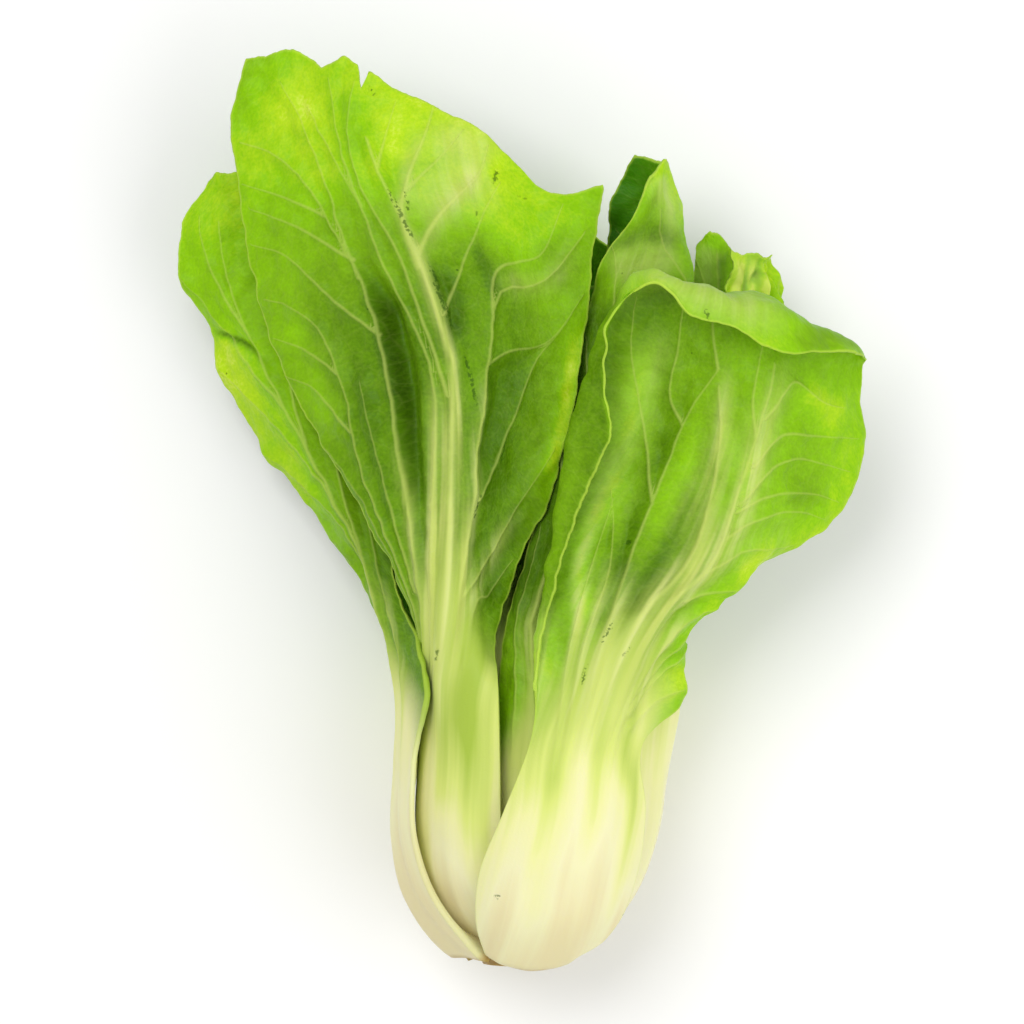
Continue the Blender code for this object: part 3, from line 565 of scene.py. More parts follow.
            100: ((-4, -26, 20), (-7, 0, 19), (-9, 26, 20), (-6, 50, 24)),
        },
        "columns": 70, "rows": 130,
    },
    "heart_leaf_centre": {
        "flesh": 0.4, "foot": (-95, 150, 30), "top": (-56, 150, 30), "foot_radius": 5.2,
        "layers": (5.5, 5.2, 5.5),
        "guides": {
            0: ((-5, -34, 33), (-7, -10, 31), (-7, 14, 29), (-3, 34, 29)),
            50: ((3, -34, 37), (3, -10, 35), (3, 14, 32), (3, 40, 30)),
            100: ((10, -34, 33), (12, -10, 31), (12, 14, 29), (8, 34, 29)),
        },
        "columns": 50, "rows": 100,
    },
}

# What a leaf gets where its own entry says nothing.
USUAL_LOOKS = {
    "left_swell": 0, "right_swell": 0, "foot_trims": (0, 0), "left_edge": ((0, 0), (100, 0)),
    "right_edge": ((0, 0), (100, 0)),
    "tip": ((0, 0), (20, 0.7), (45, -0.6), (70, 0.7), (100, 0)),
    "raggedness": 0.6, "ruffle": 0.7, "crinkle": 0, "greening": (34, 41, 44, 41, 34), "ripeness_light_and_shade": 0,
    "streaks": (),
    "tones_light_and_shade": {
        35: (62, 60, 55, 60, 62), 60: (50, 42, 44, 42, 50), 85: (66, 60, 58, 60, 66),
        100: (78, 74, 74, 74, 78),
    },
    "adaxial_tone": -0.2, "veins": (), "folds": (), "strands": ((0.7, 3.5, (50, 30), (50, 45), (50, 62)),),
    "marks": (), "tears": (),
}

FRONT_LEAVES = ("front_leaf_right", "front_leaf_left")
OUTER_LEAVES = ("outer_leaf_left", "outer_leaf_right")
INNER_LEAVES = ("inner_leaf_rolled", "inner_leaf_right", "inner_leaf_left", "inner_leaf_back")
BACK_LEAVES = ("back_leaf_left", "back_leaf_right")
HEART_LEAVES = ("heart_leaf_upper", "heart_leaf_lower", "heart_leaf_centre")


# The surface of a leaf.


def smooth_curve(places, points, at):
    """Points at the given places of the smooth curve through points, one place each."""
    places = np.asarray(places, float)
    points = np.asarray(points, float)
    slopes = np.gradient(points, places, axis=0)
    at = np.clip(at, places[0], places[-1])
    index = np.clip(np.searchsorted(places, at, side="right") - 1, 0, len(places) - 2)
    span = (places[index + 1] - places[index])[:, None]
    t = ((at - places[index]) / span[:, 0])[:, None]
    start, end = points[index], points[index + 1]
    into, out = slopes[index] * span, slopes[index + 1] * span
    return (
        start * (1 + 2 * t) * (1 - t) ** 2
        + into * t * (1 - t) ** 2
        + end * t * t * (3 - 2 * t)
        + out * t * t * (t - 1)
    )


def eased(t):
    """A share from 0 to 1 that starts and ends gently."""
    return t * t * (3 - 2 * t)


def layer_at(layers, across):
    """The layer at a place across the leaf, on a parabola through margin, middle and margin."""
    left, middle, right = layers
    return (
        left * (2 * across - 1) * (across - 1)
        + middle * 4 * across * (1 - across)
        + right * across * (2 * across - 1)
    )


def petiole_point(leaf, across, share):
    """A point on a petiole's outside: across from margin to margin, share from foot to top."""
    foot_y, foot_left, foot_right = leaf["foot"]
    top_y, top_left, top_right = leaf["top"]
    y = foot_y + (top_y - foot_y) * share
    left = foot_left + (top_left - foot_left) * share
    right = foot_right + (top_right - foot_right) * share
    # The factors bring each swell to its full angle at its widest.
    left += leaf["left_swell"] * 29 * share ** 2 * (1 - share) ** 3
    right += leaf["right_swell"] * 4 * share * (1 - share)
    angle = np.radians(left + (right - left) * across)
    full = np.interp(y, *zip(*BULB_PROFILE)) - LAYER_STEP * layer_at(leaf["layers"], across)
    foot_part = (1 - share) ** FOOT_TURN
    radius = full * (1 - foot_part) + leaf["foot_radius"] * foot_part
    x = AXIS_X_AT_ROOT + AXIS_LEAN * (y - ROOT_Y) + radius * np.cos(angle)
    height = radius * np.sin(angle)
    if height < 0:
        height *= UNDERSIDE_FLATTENING
    return x, y, AXIS_HEIGHT + height


def guide_line(leaf, across, blade_points, along):
    """Points along the whole leaf, petiole and blade, at one place across it."""
    petiole = [petiole_point(leaf, across, share) for share in PETIOLE_STATIONS]
    points = np.array(petiole + list(blade_points), float)
    steps = np.linalg.norm(np.diff(points[len(petiole) - 1:], axis=0), axis=1)
    blade_places = PETIOLE_SHARE + (1 - PETIOLE_SHARE) * np.cumsum(steps) / steps.sum()
    places = [PETIOLE_SHARE * share for share in PETIOLE_STATIONS] + list(blade_places)
    return smooth_curve(places, points, along)


def smooth_leaf(leaf, columns=150, rows=300):
    """The leaf's outside without any detail, on an even grid, in metres."""
    along = np.linspace(0, 1, rows + 1)
    across = np.linspace(0, 1, columns + 1)
    places = [place / 100 for place in leaf["guides"]]
    blades = leaf["guides"].values()
    lines = [guide_line(leaf, place, blade, along) for place, blade in zip(places, blades)]
    grid = np.array([smooth_curve(places, row, across) for row in zip(*lines)]) + np.array(TO_ORIGIN)
    grid[:, :, 2] = np.maximum(grid[:, :, 2], 0.0)
    return grid * MM


def sample(grid, across, along):
    """Points of an even grid at places from 0 to 1, going straight on just past its edges."""
    rows, columns = grid.shape[0] - 1, grid.shape[1] - 1
    column = np.clip(np.floor(across * columns).astype(int), 0, columns - 1)
    row = np.clip(np.floor(along * rows).astype(int), 0, rows - 1)
    s = (across * columns - column)[..., None]
    t = (along * rows - row)[..., None]
    near = grid[row, column] * (1 - s) + grid[row, column + 1] * s
    far = grid[row + 1, column] * (1 - s) + grid[row + 1, column + 1] * s
    return near * (1 - t) + far * t


def wander(places, waves, seed):
    """A smooth uneven line from -1 to 1 or so, the same each time: four waves out of step."""
    rng = np.random.default_rng(seed)
    total = np.zeros_like(places)
    for octave in range(4):
        turns = waves * 2.1 ** octave * rng.uniform(0.85, 1.15)
        total += np.sin(2 * np.pi * (turns * places + rng.uniform())) / 1.6 ** octave
    return total / 2.0


def steps_along(grid, axis):
    """Distances between neighbouring points of a grid, along one of its axes."""
    return np.linalg.norm(np.diff(grid, axis=axis), axis=2)


def width_at(smooth, along):
    """A leaf's width over its surface, at places along it."""
    widths = steps_along(smooth, 1).sum(1)
    return np.interp(along, np.linspace(0, 1, len(widths)), widths)


def reach_at(table, places):
    """How far an edge stands out, in metres, at places from 0 to 1 along it."""
    stations, reach = zip(*table)
    return np.interp(places, np.array(stations) / 100, reach) * MM


def grown_grid(leaf, smooth, seed):
    """Places across and along for each point of the finished leaf, with its uneven outline."""
    rows = leaf["rows"]
    even = np.linspace(0, 1, rows + 1)
    blade_row = np.searchsorted(even, PETIOLE_ROWS)
    along = even * PETIOLE_SHARE / PETIOLE_ROWS
    along[blade_row:] = np.linspace(along[blade_row - 1], 1, rows + 2 - blade_row)[1:]
    across = np.linspace(0, 1, leaf["columns"] + 1)
    length = steps_along(smooth, 0).sum(0).max()
    width = width_at(smooth, along)
    ragged = leaf["raggedness"] * MM
    rough = ragged * np.clip((along - ROUGH_FROM) / 0.1, 0, 1)
    left = (rough * wander(along, MARGIN_WAVES, seed) - reach_at(leaf["left_edge"], along)) / width
    right = (rough * wander(along, MARGIN_WAVES, seed + 1) + reach_at(leaf["right_edge"], along)) / width
    tip_waves = max(1.0, width[-1] / (TIP_WAVE * MM))
    tip = reach_at(leaf["tip"], across) + 0.6 * ragged * wander(across, tip_waves, seed + 2)
    tip_part = np.clip((along - 1 + TIP_PART) / TIP_PART, 0, 1)[:, None] ** 1.5
    trim_left, trim_right = leaf["foot_trims"]
    off_middle = 2 * across - 1
    trim = trim_left * np.clip(-off_middle, 0, 1) ** 2.2 + trim_right * np.clip(off_middle, 0, 1) ** 2.2
    foot_part = np.clip(1 - along / TRIM_PART, 0, 1)[:, None]
    u = left[:, None] + (1 + right - left)[:, None] * across
    v = along[:, None] + (tip * tip_part + trim * MM * foot_part) / length
    return u, v


def surface_normals(grid):
    """Unit normals of a grid of points, pointing out of the leaf's outside."""
    normals = np.cross(np.gradient(grid, axis=1), np.gradient(grid, axis=0))
    return normals / np.maximum(np.linalg.norm(normals, axis=2, keepdims=True), 1e-12)


def usual_veins(seed, pairs=8):
    """A midrib and pairs of side veins that leave it and curve towards the tip."""
    rng = np.random.default_rng(seed)
    veins = [(2.4, 1.1, (50, 20), (50, 40), (51, 60), (50, 80), (50, 97))]
    outs = np.array((2, 14, 28, 40, 49))
    for pair in range(pairs):
        for side in (-1, 1):
            leaves_at = 24 + 62 * pair / (pairs - 1) + rng.uniform(-1.5, 1.5)
            rise = 26 - 13 * pair / (pairs - 1)
            ups = leaves_at + rise * (outs / 49) ** 0.85 + rng.uniform(-0.6, 0.6, len(outs))
            places = [(50 + side * out, up) for out, up in zip(outs, ups) if 30 < up < 98.5]
            if len(places) > 1:
                veins.append((0.9, 0.5, *places))
    return veins


def nearest_on(points, grid, normals):
    """How far each point is from a line, with a sign for its side, and how far along it is."""
    flat, facing = grid.reshape(-1, 3), normals.reshape(-1, 3)
    best = np.full(len(flat), np.inf)
    side = np.ones(len(flat))
    where = np.zeros(len(flat))
    for place in range(len(points) - 1):
        start, run = points[place], points[place + 1] - points[place]
        part = np.clip((flat - start) @ run / max(run @ run, 1e-12), 0, 1)
        off = flat - start - part[:, None] * run
        gap = np.linalg.norm(off, axis=1)
        closer = gap < best
        best = np.where(closer, gap, best)
        side = np.where(closer, np.sign((np.cross(run, off) * facing).sum(1) + 1e-12), side)
        where = np.where(closer, (place + part) / (len(points) - 1), where)
    shape = grid.shape[:2]
    return best.reshape(shape), (best * side).reshape(shape), where.reshape(shape)


def line_on_leaf(smooth, places, count=20):
    """Points on the leaf along a smooth line through a few places, in per cent."""
    places = np.array(places, float) / 100
    steps = np.concatenate([[0], np.cumsum(np.linalg.norm(np.diff(places, axis=0), axis=1))])
    if len(places) > 2:
        line = smooth_curve(steps, places, np.linspace(0, steps[-1], count))
    else:
        line = np.linspace(places[0], places[1], count)
    return sample(smooth, line[:, 0], line[:, 1])


def vein_fields(leaf, smooth, grid, normals, seed):
    """For each point: height of the veins there, and the nearest vein's gap, side and width."""
    height, core = np.zeros((2, *grid.shape[:2]))
    gap, side = np.ones((2, *grid.shape[:2]))
    for half_width, rise, *places in leaf["veins"] or usual_veins(seed):
        distance, signed, where = nearest_on(line_on_leaf(smooth, places), grid, normals)
        taper = 1.15 - 0.75 * where
        fade = np.clip(where / 0.12, 0, 1) if places[0][1] < 100 * PETIOLE_SHARE else 1.0
        profile = np.exp(-((distance / (half_width * MM * taper)) ** 2)) * fade
        height = np.maximum(height, rise * MM * profile * (1 - 0.6 * where))
        closer = distance < gap
        side = np.where(closer, signed, side)
        core = np.where(closer, (0.25 + 0.36 * half_width) * taper * fade, core)
        gap = np.minimum(gap, distance)
    return height, gap, side, core


def along_lines(lines, smooth, grid, normals):
    """The sum of soft bands, each of a strength and a half width, along lines on the leaf."""
    total = np.zeros(grid.shape[:2])
    for strength, half_width, *places in lines:
        distance, _, where = nearest_on(line_on_leaf(smooth, places), grid, normals)
        ends = np.clip(np.minimum(where, 1 - where) / 0.25, 0, 1)
        total += strength * np.exp(-((distance / (half_width * MM)) ** 2)) * ends
    return total


def wall_thickness(leaf, across, along, blade_thickness):
    """Thickness over a leaf: fleshy along the middle, thin at the margins and in the blade.

    Its foot gets a heel as well, which reaches in to the stem.
    """
    off_middle = np.abs(2 * across - 1)
    middle = leaf["flesh"] * np.interp(along, MIDDLE_SHARES, MIDDLE_THICKNESS) * MM
    margin = np.interp(along, (PETIOLE_SHARE, 0.5), (MARGIN_THICKNESS * MM, blade_thickness))
    width = np.interp(along, MIDDLE_SHARES, MIDDLE_WIDTHS)
    flesh = np.clip(1 - off_middle / width, 0, 1) ** 0.8
    heel = max(0.0, leaf["foot_radius"] - STEM_RADIUS) * MM * np.clip(1 - along / HEEL_SHARE, 0, 1) ** 1.4
    heel *= np.sqrt(np.clip(1 - off_middle ** 3, 0, 1))
    return margin + np.maximum(middle - margin, 0) * flesh + heel


def tone_light_and_shade_at(tones_light_and_shade, across, along):
    """The blade's greens, with the light and shade painted into them, at places across and along, smoothly
    between the rows of its table.
    """
    rows = np.array(list(tones_light_and_shade)) / 100
    stations = np.linspace(0, 1, 5)
    lines = np.array([np.interp(across.ravel(), stations, values) for values in tones_light_and_shade.values()]) / 100
    place = np.clip(along.ravel(), rows[0], rows[-1])
    index = np.clip(np.searchsorted(rows, place, side="right") - 1, 0, len(rows) - 2)
    t = eased((place - rows[index]) / (rows[index + 1] - rows[index]))
    each = np.arange(len(place))
    return (lines[index, each] * (1 - t) + lines[index + 1, each] * t).reshape(across.shape)


def shell_faces(columns, rows):
    """Faces of a closed shell: the outer grid, the inner grid, and the rim between them."""
    count = (columns + 1) * (rows + 1)
    place = np.arange(count).reshape(rows + 1, columns + 1)
    outer = np.stack([place[:-1, :-1], place[:-1, 1:], place[1:, 1:], place[1:, :-1]], axis=2).reshape(-1, 4)
    inner = outer[:, ::-1] + count
    loop = np.concatenate([place[0, :-1], place[:-1, -1], place[-1, :0:-1], place[:0:-1, 0]])
    after = np.roll(loop, -1)
    rim = np.stack([after, loop, loop + count, after + count], axis=1)
    return np.concatenate([outer, inner, rim]).tolist()


def leaf_mesh(name, leaf, sizes, seed):
    """The leaf as one closed skin, with what its materials and its relief are drawn from."""
    smooth = smooth_leaf(leaf)
    across, along = grown_grid(leaf, smooth, seed)
    outside = sample(smooth, across, along)
    normals = surface_normals(outside)
    thickness = wall_thickness(leaf, across, along, sizes.blade_thickness)
    height, gap, side, core = vein_fields(leaf, smooth, outside, normals, seed)
    from_left = np.cumsum(np.pad(steps_along(outside, 1), ((0, 0), (1, 0))), 1)
    from_foot = np.cumsum(np.pad(steps_along(outside, 0), ((1, 0), (0, 0))), 0)
    margin = np.minimum(np.minimum(from_left, from_left[:, -1:] - from_left), from_foot[-1:] - from_foot)
    turn = np.interp(across, np.linspace(0, 1, 5), leaf["greening"]) / 100
    blade = eased(np.clip((along - turn + GREENING_PART / 2) / GREENING_PART, 0, 1))
    short_of_round = np.clip(1 - from_foot / (FOOT_ROUND * MM), 0, 1)
    rounding = np.minimum(FOOT_ROUND * MM * (1 - np.sqrt(1 - short_of_round ** 2)), 0.8 * thickness)
    inside = outside - normals * thickness[:, :, None]
    outside = outside - normals * rounding[:, :, None]

    def bands(key):
        return along_lines(leaf[key], smooth, outside, normals)

    on_both_walls = {
        "vein_height": height,
        "vein_gap": gap / MM,
        "vein_side": side / MM,
        "vein_core": core,
        "quilt": (1 - np.exp(-((gap / (QUILT_REACH * MM)) ** 2))) * blade,
        "fold": -bands("folds") * MM,
        "margin": margin / MM,
        "blade": blade,
        "along": along,
        # The ripeness also carries painted shade and light on the petioles.
        "ripeness_light_and_shade": along + leaf["ripeness_light_and_shade"] + bands("streaks"),
        "tear": np.clip(bands("tears"), 0, 1),
        "strand": np.clip(bands("strands"), 0, 1),
        # The blade's greens carry painted shade and highlights, from the tables and from the marks.
        "tone_light_and_shade": tone_light_and_shade_at(leaf["tones_light_and_shade"], across, along) + bands("marks"),
        "crinkle": leaf["crinkle"] * np.clip((along - 0.6) / 0.2, 0, 1),
        "adaxial_tone": np.full(along.shape, leaf["adaxial_tone"]),
    }
    mesh = bpy.data.meshes.new(name)
    points = np.concatenate([outside.reshape(-1, 3), inside.reshape(-1, 3)])
    mesh.from_pydata(points.tolist(), [], shell_faces(leaf["columns"], leaf["rows"]))

    def store(label, values, kind="FLOAT", field="value"):
        mesh.attributes.new(label, kind, "POINT").data.foreach_set(field, values.ravel().astype(np.float32))

    for label, values in on_both_walls.items():
        store(label, np.tile(values.ravel(), 2))
    store("adaxial", np.repeat((0.0, 1.0), along.size))
    store("outward", np.tile(normals.reshape(-1, 3), (2, 1)), "FLOAT_VECTOR", "vector")
    flat = np.stack([(across - 0.5) * width_at(smooth, along), from_foot], axis=2)
    flat = np.tile(flat.reshape(-1, 2), (2, 1))
    store("flat_place", np.pad(flat, ((0, 0), (0, 1))), "FLOAT_VECTOR", "vector")
    corner = np.zeros(len(mesh.loops), np.int32)
    mesh.loops.foreach_get("vertex_index", corner)
    mesh.uv_layers.new(name="flat").data.foreach_set("uv", flat[corner].ravel().astype(np.float32))
    mesh.shade_smooth()
    return mesh


# Nodes.


def linear(hex_colour):
    """A linear RGBA colour from an sRGB hex value such as "#8fca17"."""
    channels = [int(hex_colour[place:place + 2], 16) / 255 for place in (1, 3, 5)]
    channels = [c / 12.92 if c <= 0.04045 else ((c + 0.055) / 1.055) ** 2.4 for c in channels]
    return (*channels, 1.0)


def node(tree, kind, inputs=(), **settings):
    """Adds a node with its settings.

    Its inputs are given in their order, or by name or number. Each is a value, a socket to link
    from, or a node, which stands for its first output.
    """
    made = tree.nodes.new(kind)
    for name, value in settings.items():
        setattr(made, name, value)
    for name, value in inputs.items() if isinstance(inputs, dict) else enumerate(inputs):
        if isinstance(value, bpy.types.Node):
            value = value.outputs[0]
        if isinstance(value, bpy.types.NodeSocket):
            tree.links.new(value, made.inputs[name])
        else:
            made.inputs[name].default_value = value
    return made


# The kinds of node that are used most, and what they are set to: a range that starts and ends
# gently, and a mix of two colours.
MATH, RANGE, MIX = "ShaderNodeMath", "ShaderNodeMapRange", "ShaderNodeMix"
VECTORS, NOISE, CELLS = "ShaderNodeVectorMath", "ShaderNodeTexNoise", "ShaderNodeTexVoronoi"
GENTLY = {"interpolation_type": "SMOOTHSTEP"}
IN_COLOUR = {"data_type": "RGBA"}


# The relief that every leaf gets, as a node tree.

RELIEF_INPUTS = (
    ("Vein Height", "How high the veins stand, as a share of each vein's own height", 1.0),
    ("Quilt Depth", "How far the tissue sinks between the veins", 0.0006),
    ("Margin Ruffle", "How far the margin waves in and out", 0.0012),
    ("Ruffle Length", "Length of one wave of the margin", 0.010),
    ("Pucker Height", "Height of the blade's soft unevenness", 0.0005),
    ("Pucker Size", "Width of one pucker", 0.007),
    ("Rib Height", "Height of the strands that run along the petiole", 0.00022),
    ("Rib Spacing", "Distance between the petiole's strands", 0.0065),
    ("Crinkle Height", "Height of the hard creases in a crinkled blade", 0.0036),
    ("Seed", "Which uneven pattern this leaf gets", 0.0),
)


def leaf_relief_tree():
    """Moves both walls of a leaf out and in: veins, quilting, folds, ruffles, puckers and ribs."""
    tree = bpy.data.node_groups.new("Leaf relief", "GeometryNodeTree")
    tree.is_modifier = True
    tree.interface.new_socket("Geometry", in_out="INPUT", socket_type="NodeSocketGeometry")
    for name, description, default in RELIEF_INPUTS:
        socket = tree.interface.new_socket(name, in_out="INPUT", socket_type="NodeSocketFloat")
        socket.description = description
        socket.default_value = default
    tree.interface.new_socket("Material", in_out="INPUT", socket_type="NodeSocketMaterial")
    tree.interface.new_socket("Geometry", in_out="OUTPUT", socket_type="NodeSocketGeometry")
    given = node(tree, "NodeGroupInput").outputs
    place = node(tree, "GeometryNodeInputPosition")
    attribute = "GeometryNodeInputNamedAttribute"
    stored = {}
    for label in ("adaxial", "blade", "crinkle", "fold", "margin", "quilt", "vein_height"):
        stored[label] = node(tree, attribute, {"Name": label}, data_type="FLOAT")
    for label in ("flat_place", "outward"):
        stored[label] = node(tree, attribute, {"Name": label}, data_type="FLOAT_VECTOR")
    blade = stored["blade"]

    def uneven(vector, size, detail=1.0):
        """Noise from -1 to 1 with features of the given size."""
        scale = node(tree, MATH, (1.0, size), operation="DIVIDE")
        inputs = {"Vector": vector, "W": given["Seed"], "Scale": scale, "Detail": detail}
        noise = node(tree, NOISE, inputs, noise_dimensions="4D")
        return node(tree, RANGE, (noise, 0.25, 0.75, -1.0, 1.0), clamp=False)

    # The veins stand up on the outside, and are faint on the inside. Between them the blade sinks.
    outer = node(tree, MATH, (stored["adaxial"], 1.25), operation="MULTIPLY")
    outer = node(tree, MATH, (1.0, outer), operation="SUBTRACT")
    veins = node(tree, MATH, (stored["vein_height"], given["Vein Height"]), operation="MULTIPLY")
    veins = node(tree, MATH, (veins, outer), operation="MULTIPLY")
    quilt = node(tree, MATH, (stored["quilt"], given["Quilt Depth"]), operation="MULTIPLY")
    total = node(tree, MATH, (veins, quilt), operation="SUBTRACT")
    total = node(tree, MATH, (total, stored["fold"]), operation="ADD")

    # What is uneven: each pattern's own height, and how much of it a place gets.
    edge = node(tree, RANGE, (stored["margin"], 9.0, 0.0), **GENTLY)
    edge = node(tree, MATH, (edge, blade), operation="MULTIPLY")
    petiole = node(tree, MATH, (1.0, blade), operation="SUBTRACT")
    lengthwise = node(tree, VECTORS, (stored["flat_place"], (1.0, 0.07, 1.0)), operation="MULTIPLY")
    crease_size = node(tree, MATH, (given["Pucker Size"], 1.2), operation="MULTIPLY")
    creases = node(tree, MATH, (uneven(place, crease_size),), operation="ABSOLUTE")
    patterns = (
        (uneven(place, given["Ruffle Length"]), given["Margin Ruffle"], edge),
        (uneven(place, given["Pucker Size"]), given["Pucker Height"], blade),
        (uneven(lengthwise, given["Rib Spacing"], 0.0), given["Rib Height"], petiole),
        (creases, given["Crinkle Height"], stored["crinkle"]),
    )
    for pattern, height, share in patterns:
        raised = node(tree, MATH, (pattern, height), operation="MULTIPLY")
        raised = node(tree, MATH, (raised, share), operation="MULTIPLY")
        total = node(tree, MATH, (total, raised), operation="ADD")

    offset = node(tree, VECTORS, {0: stored["outward"], "Scale": total}, operation="SCALE")
    moved = node(tree, "GeometryNodeSetPosition", {"Geometry": given["Geometry"], "Offset": offset})
    above = node(tree, VECTORS, (place, (-10.0, -10.0, 0.0)), operation="MAXIMUM")
    rested = node(tree, "GeometryNodeSetPosition", {"Geometry": moved, "Position": above})
    whole = node(tree, "GeometryNodeRealizeInstances", {"Geometry": rested})
    dressed = {"Geometry": whole, "Material": given["Material"]}
    coloured = node(tree, "GeometryNodeSetMaterial", dressed)
    node(tree, "NodeGroupOutput", {"Geometry": coloured})
    return tree


def grow_leaf(name, material, sizes):
    """Makes one leaf, puts its relief on it, and lets it stand for its CAD solid."""
    seed = list(LEAVES).index(name) * 7 + 3
    leaf = {**USUAL_LOOKS, **LEAVES[name]}
    leaf_object = bpy.data.objects.new("leaf." + name, leaf_mesh(name + "_grown", leaf, sizes, seed))
    bpy.context.scene.collection.objects.link(leaf_object)
    tree = bpy.data.node_groups.get("Leaf relief") or leaf_relief_tree()
    modifier = leaf_object.modifiers.new("Leaf relief", "NODES")
    modifier.node_group = tree
    values = {
        "Vein Height": sizes.vein_height,
        "Quilt Depth": sizes.quilt_depth,
        "Margin Ruffle": sizes.margin_ruffle * leaf["ruffle"],
        "Pucker Height": sizes.pucker_height,
        "Pucker Size": sizes.pucker_size,
        "Rib Height": sizes.rib_height,
        "Seed": float(seed),
        "Material": material,
    }
    for item in tree.interface.items_tree:
        if item.in_out == "INPUT" and item.name in values:
            modifier[item.identifier] = values[item.name]
    bpy.context.view_layer.update()
    finished = leaf_object.evaluated_get(bpy.context.evaluated_depsgraph_get())
    plain = bpy.data.meshes.new_from_object(finished)
    leaf_object.modifiers.clear()
    leaf_object.data = plain
    plain.name = name + "_grown"
    check_against_cad(name, plain)
    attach(leaf_object, "root")
    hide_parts(name)


def check_against_cad(name, mesh):
    """Stops if a grown leaf has left the place that its solid has in the frame."""
    points = np.zeros(len(mesh.vertices) * 3, np.float32)
    mesh.vertices.foreach_get("co", points)
    points = points.reshape(-1, 3)
    low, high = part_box(name)
    stray = max(np.abs(points.min(0) - np.array(low)).max(), np.abs(points.max(0) - np.array(high)).max())
    if stray > STRAY_LIMIT * MM:
        raise RuntimeError(f"{name} has grown {stray / MM:.1f} mm out of its place")


# Materials.


def empty_material(name):
    """A material whose node tree is still to be filled."""
    material = bpy.data.materials.new(name)
    material.use_nodes = True
    material.node_tree.nodes.clear()
    return material


def fill_ramp(ramp, *stops):
    """Gives a colour ramp its stops, each a place and a colour."""
    while len(ramp.elements) > 1:
        ramp.elements.remove(ramp.elements[-1])
    for count, (place, shade) in enumerate(stops):
        element = ramp.elements.new(place) if count else ramp.elements[0]
        element.position = place
        element.color = shade


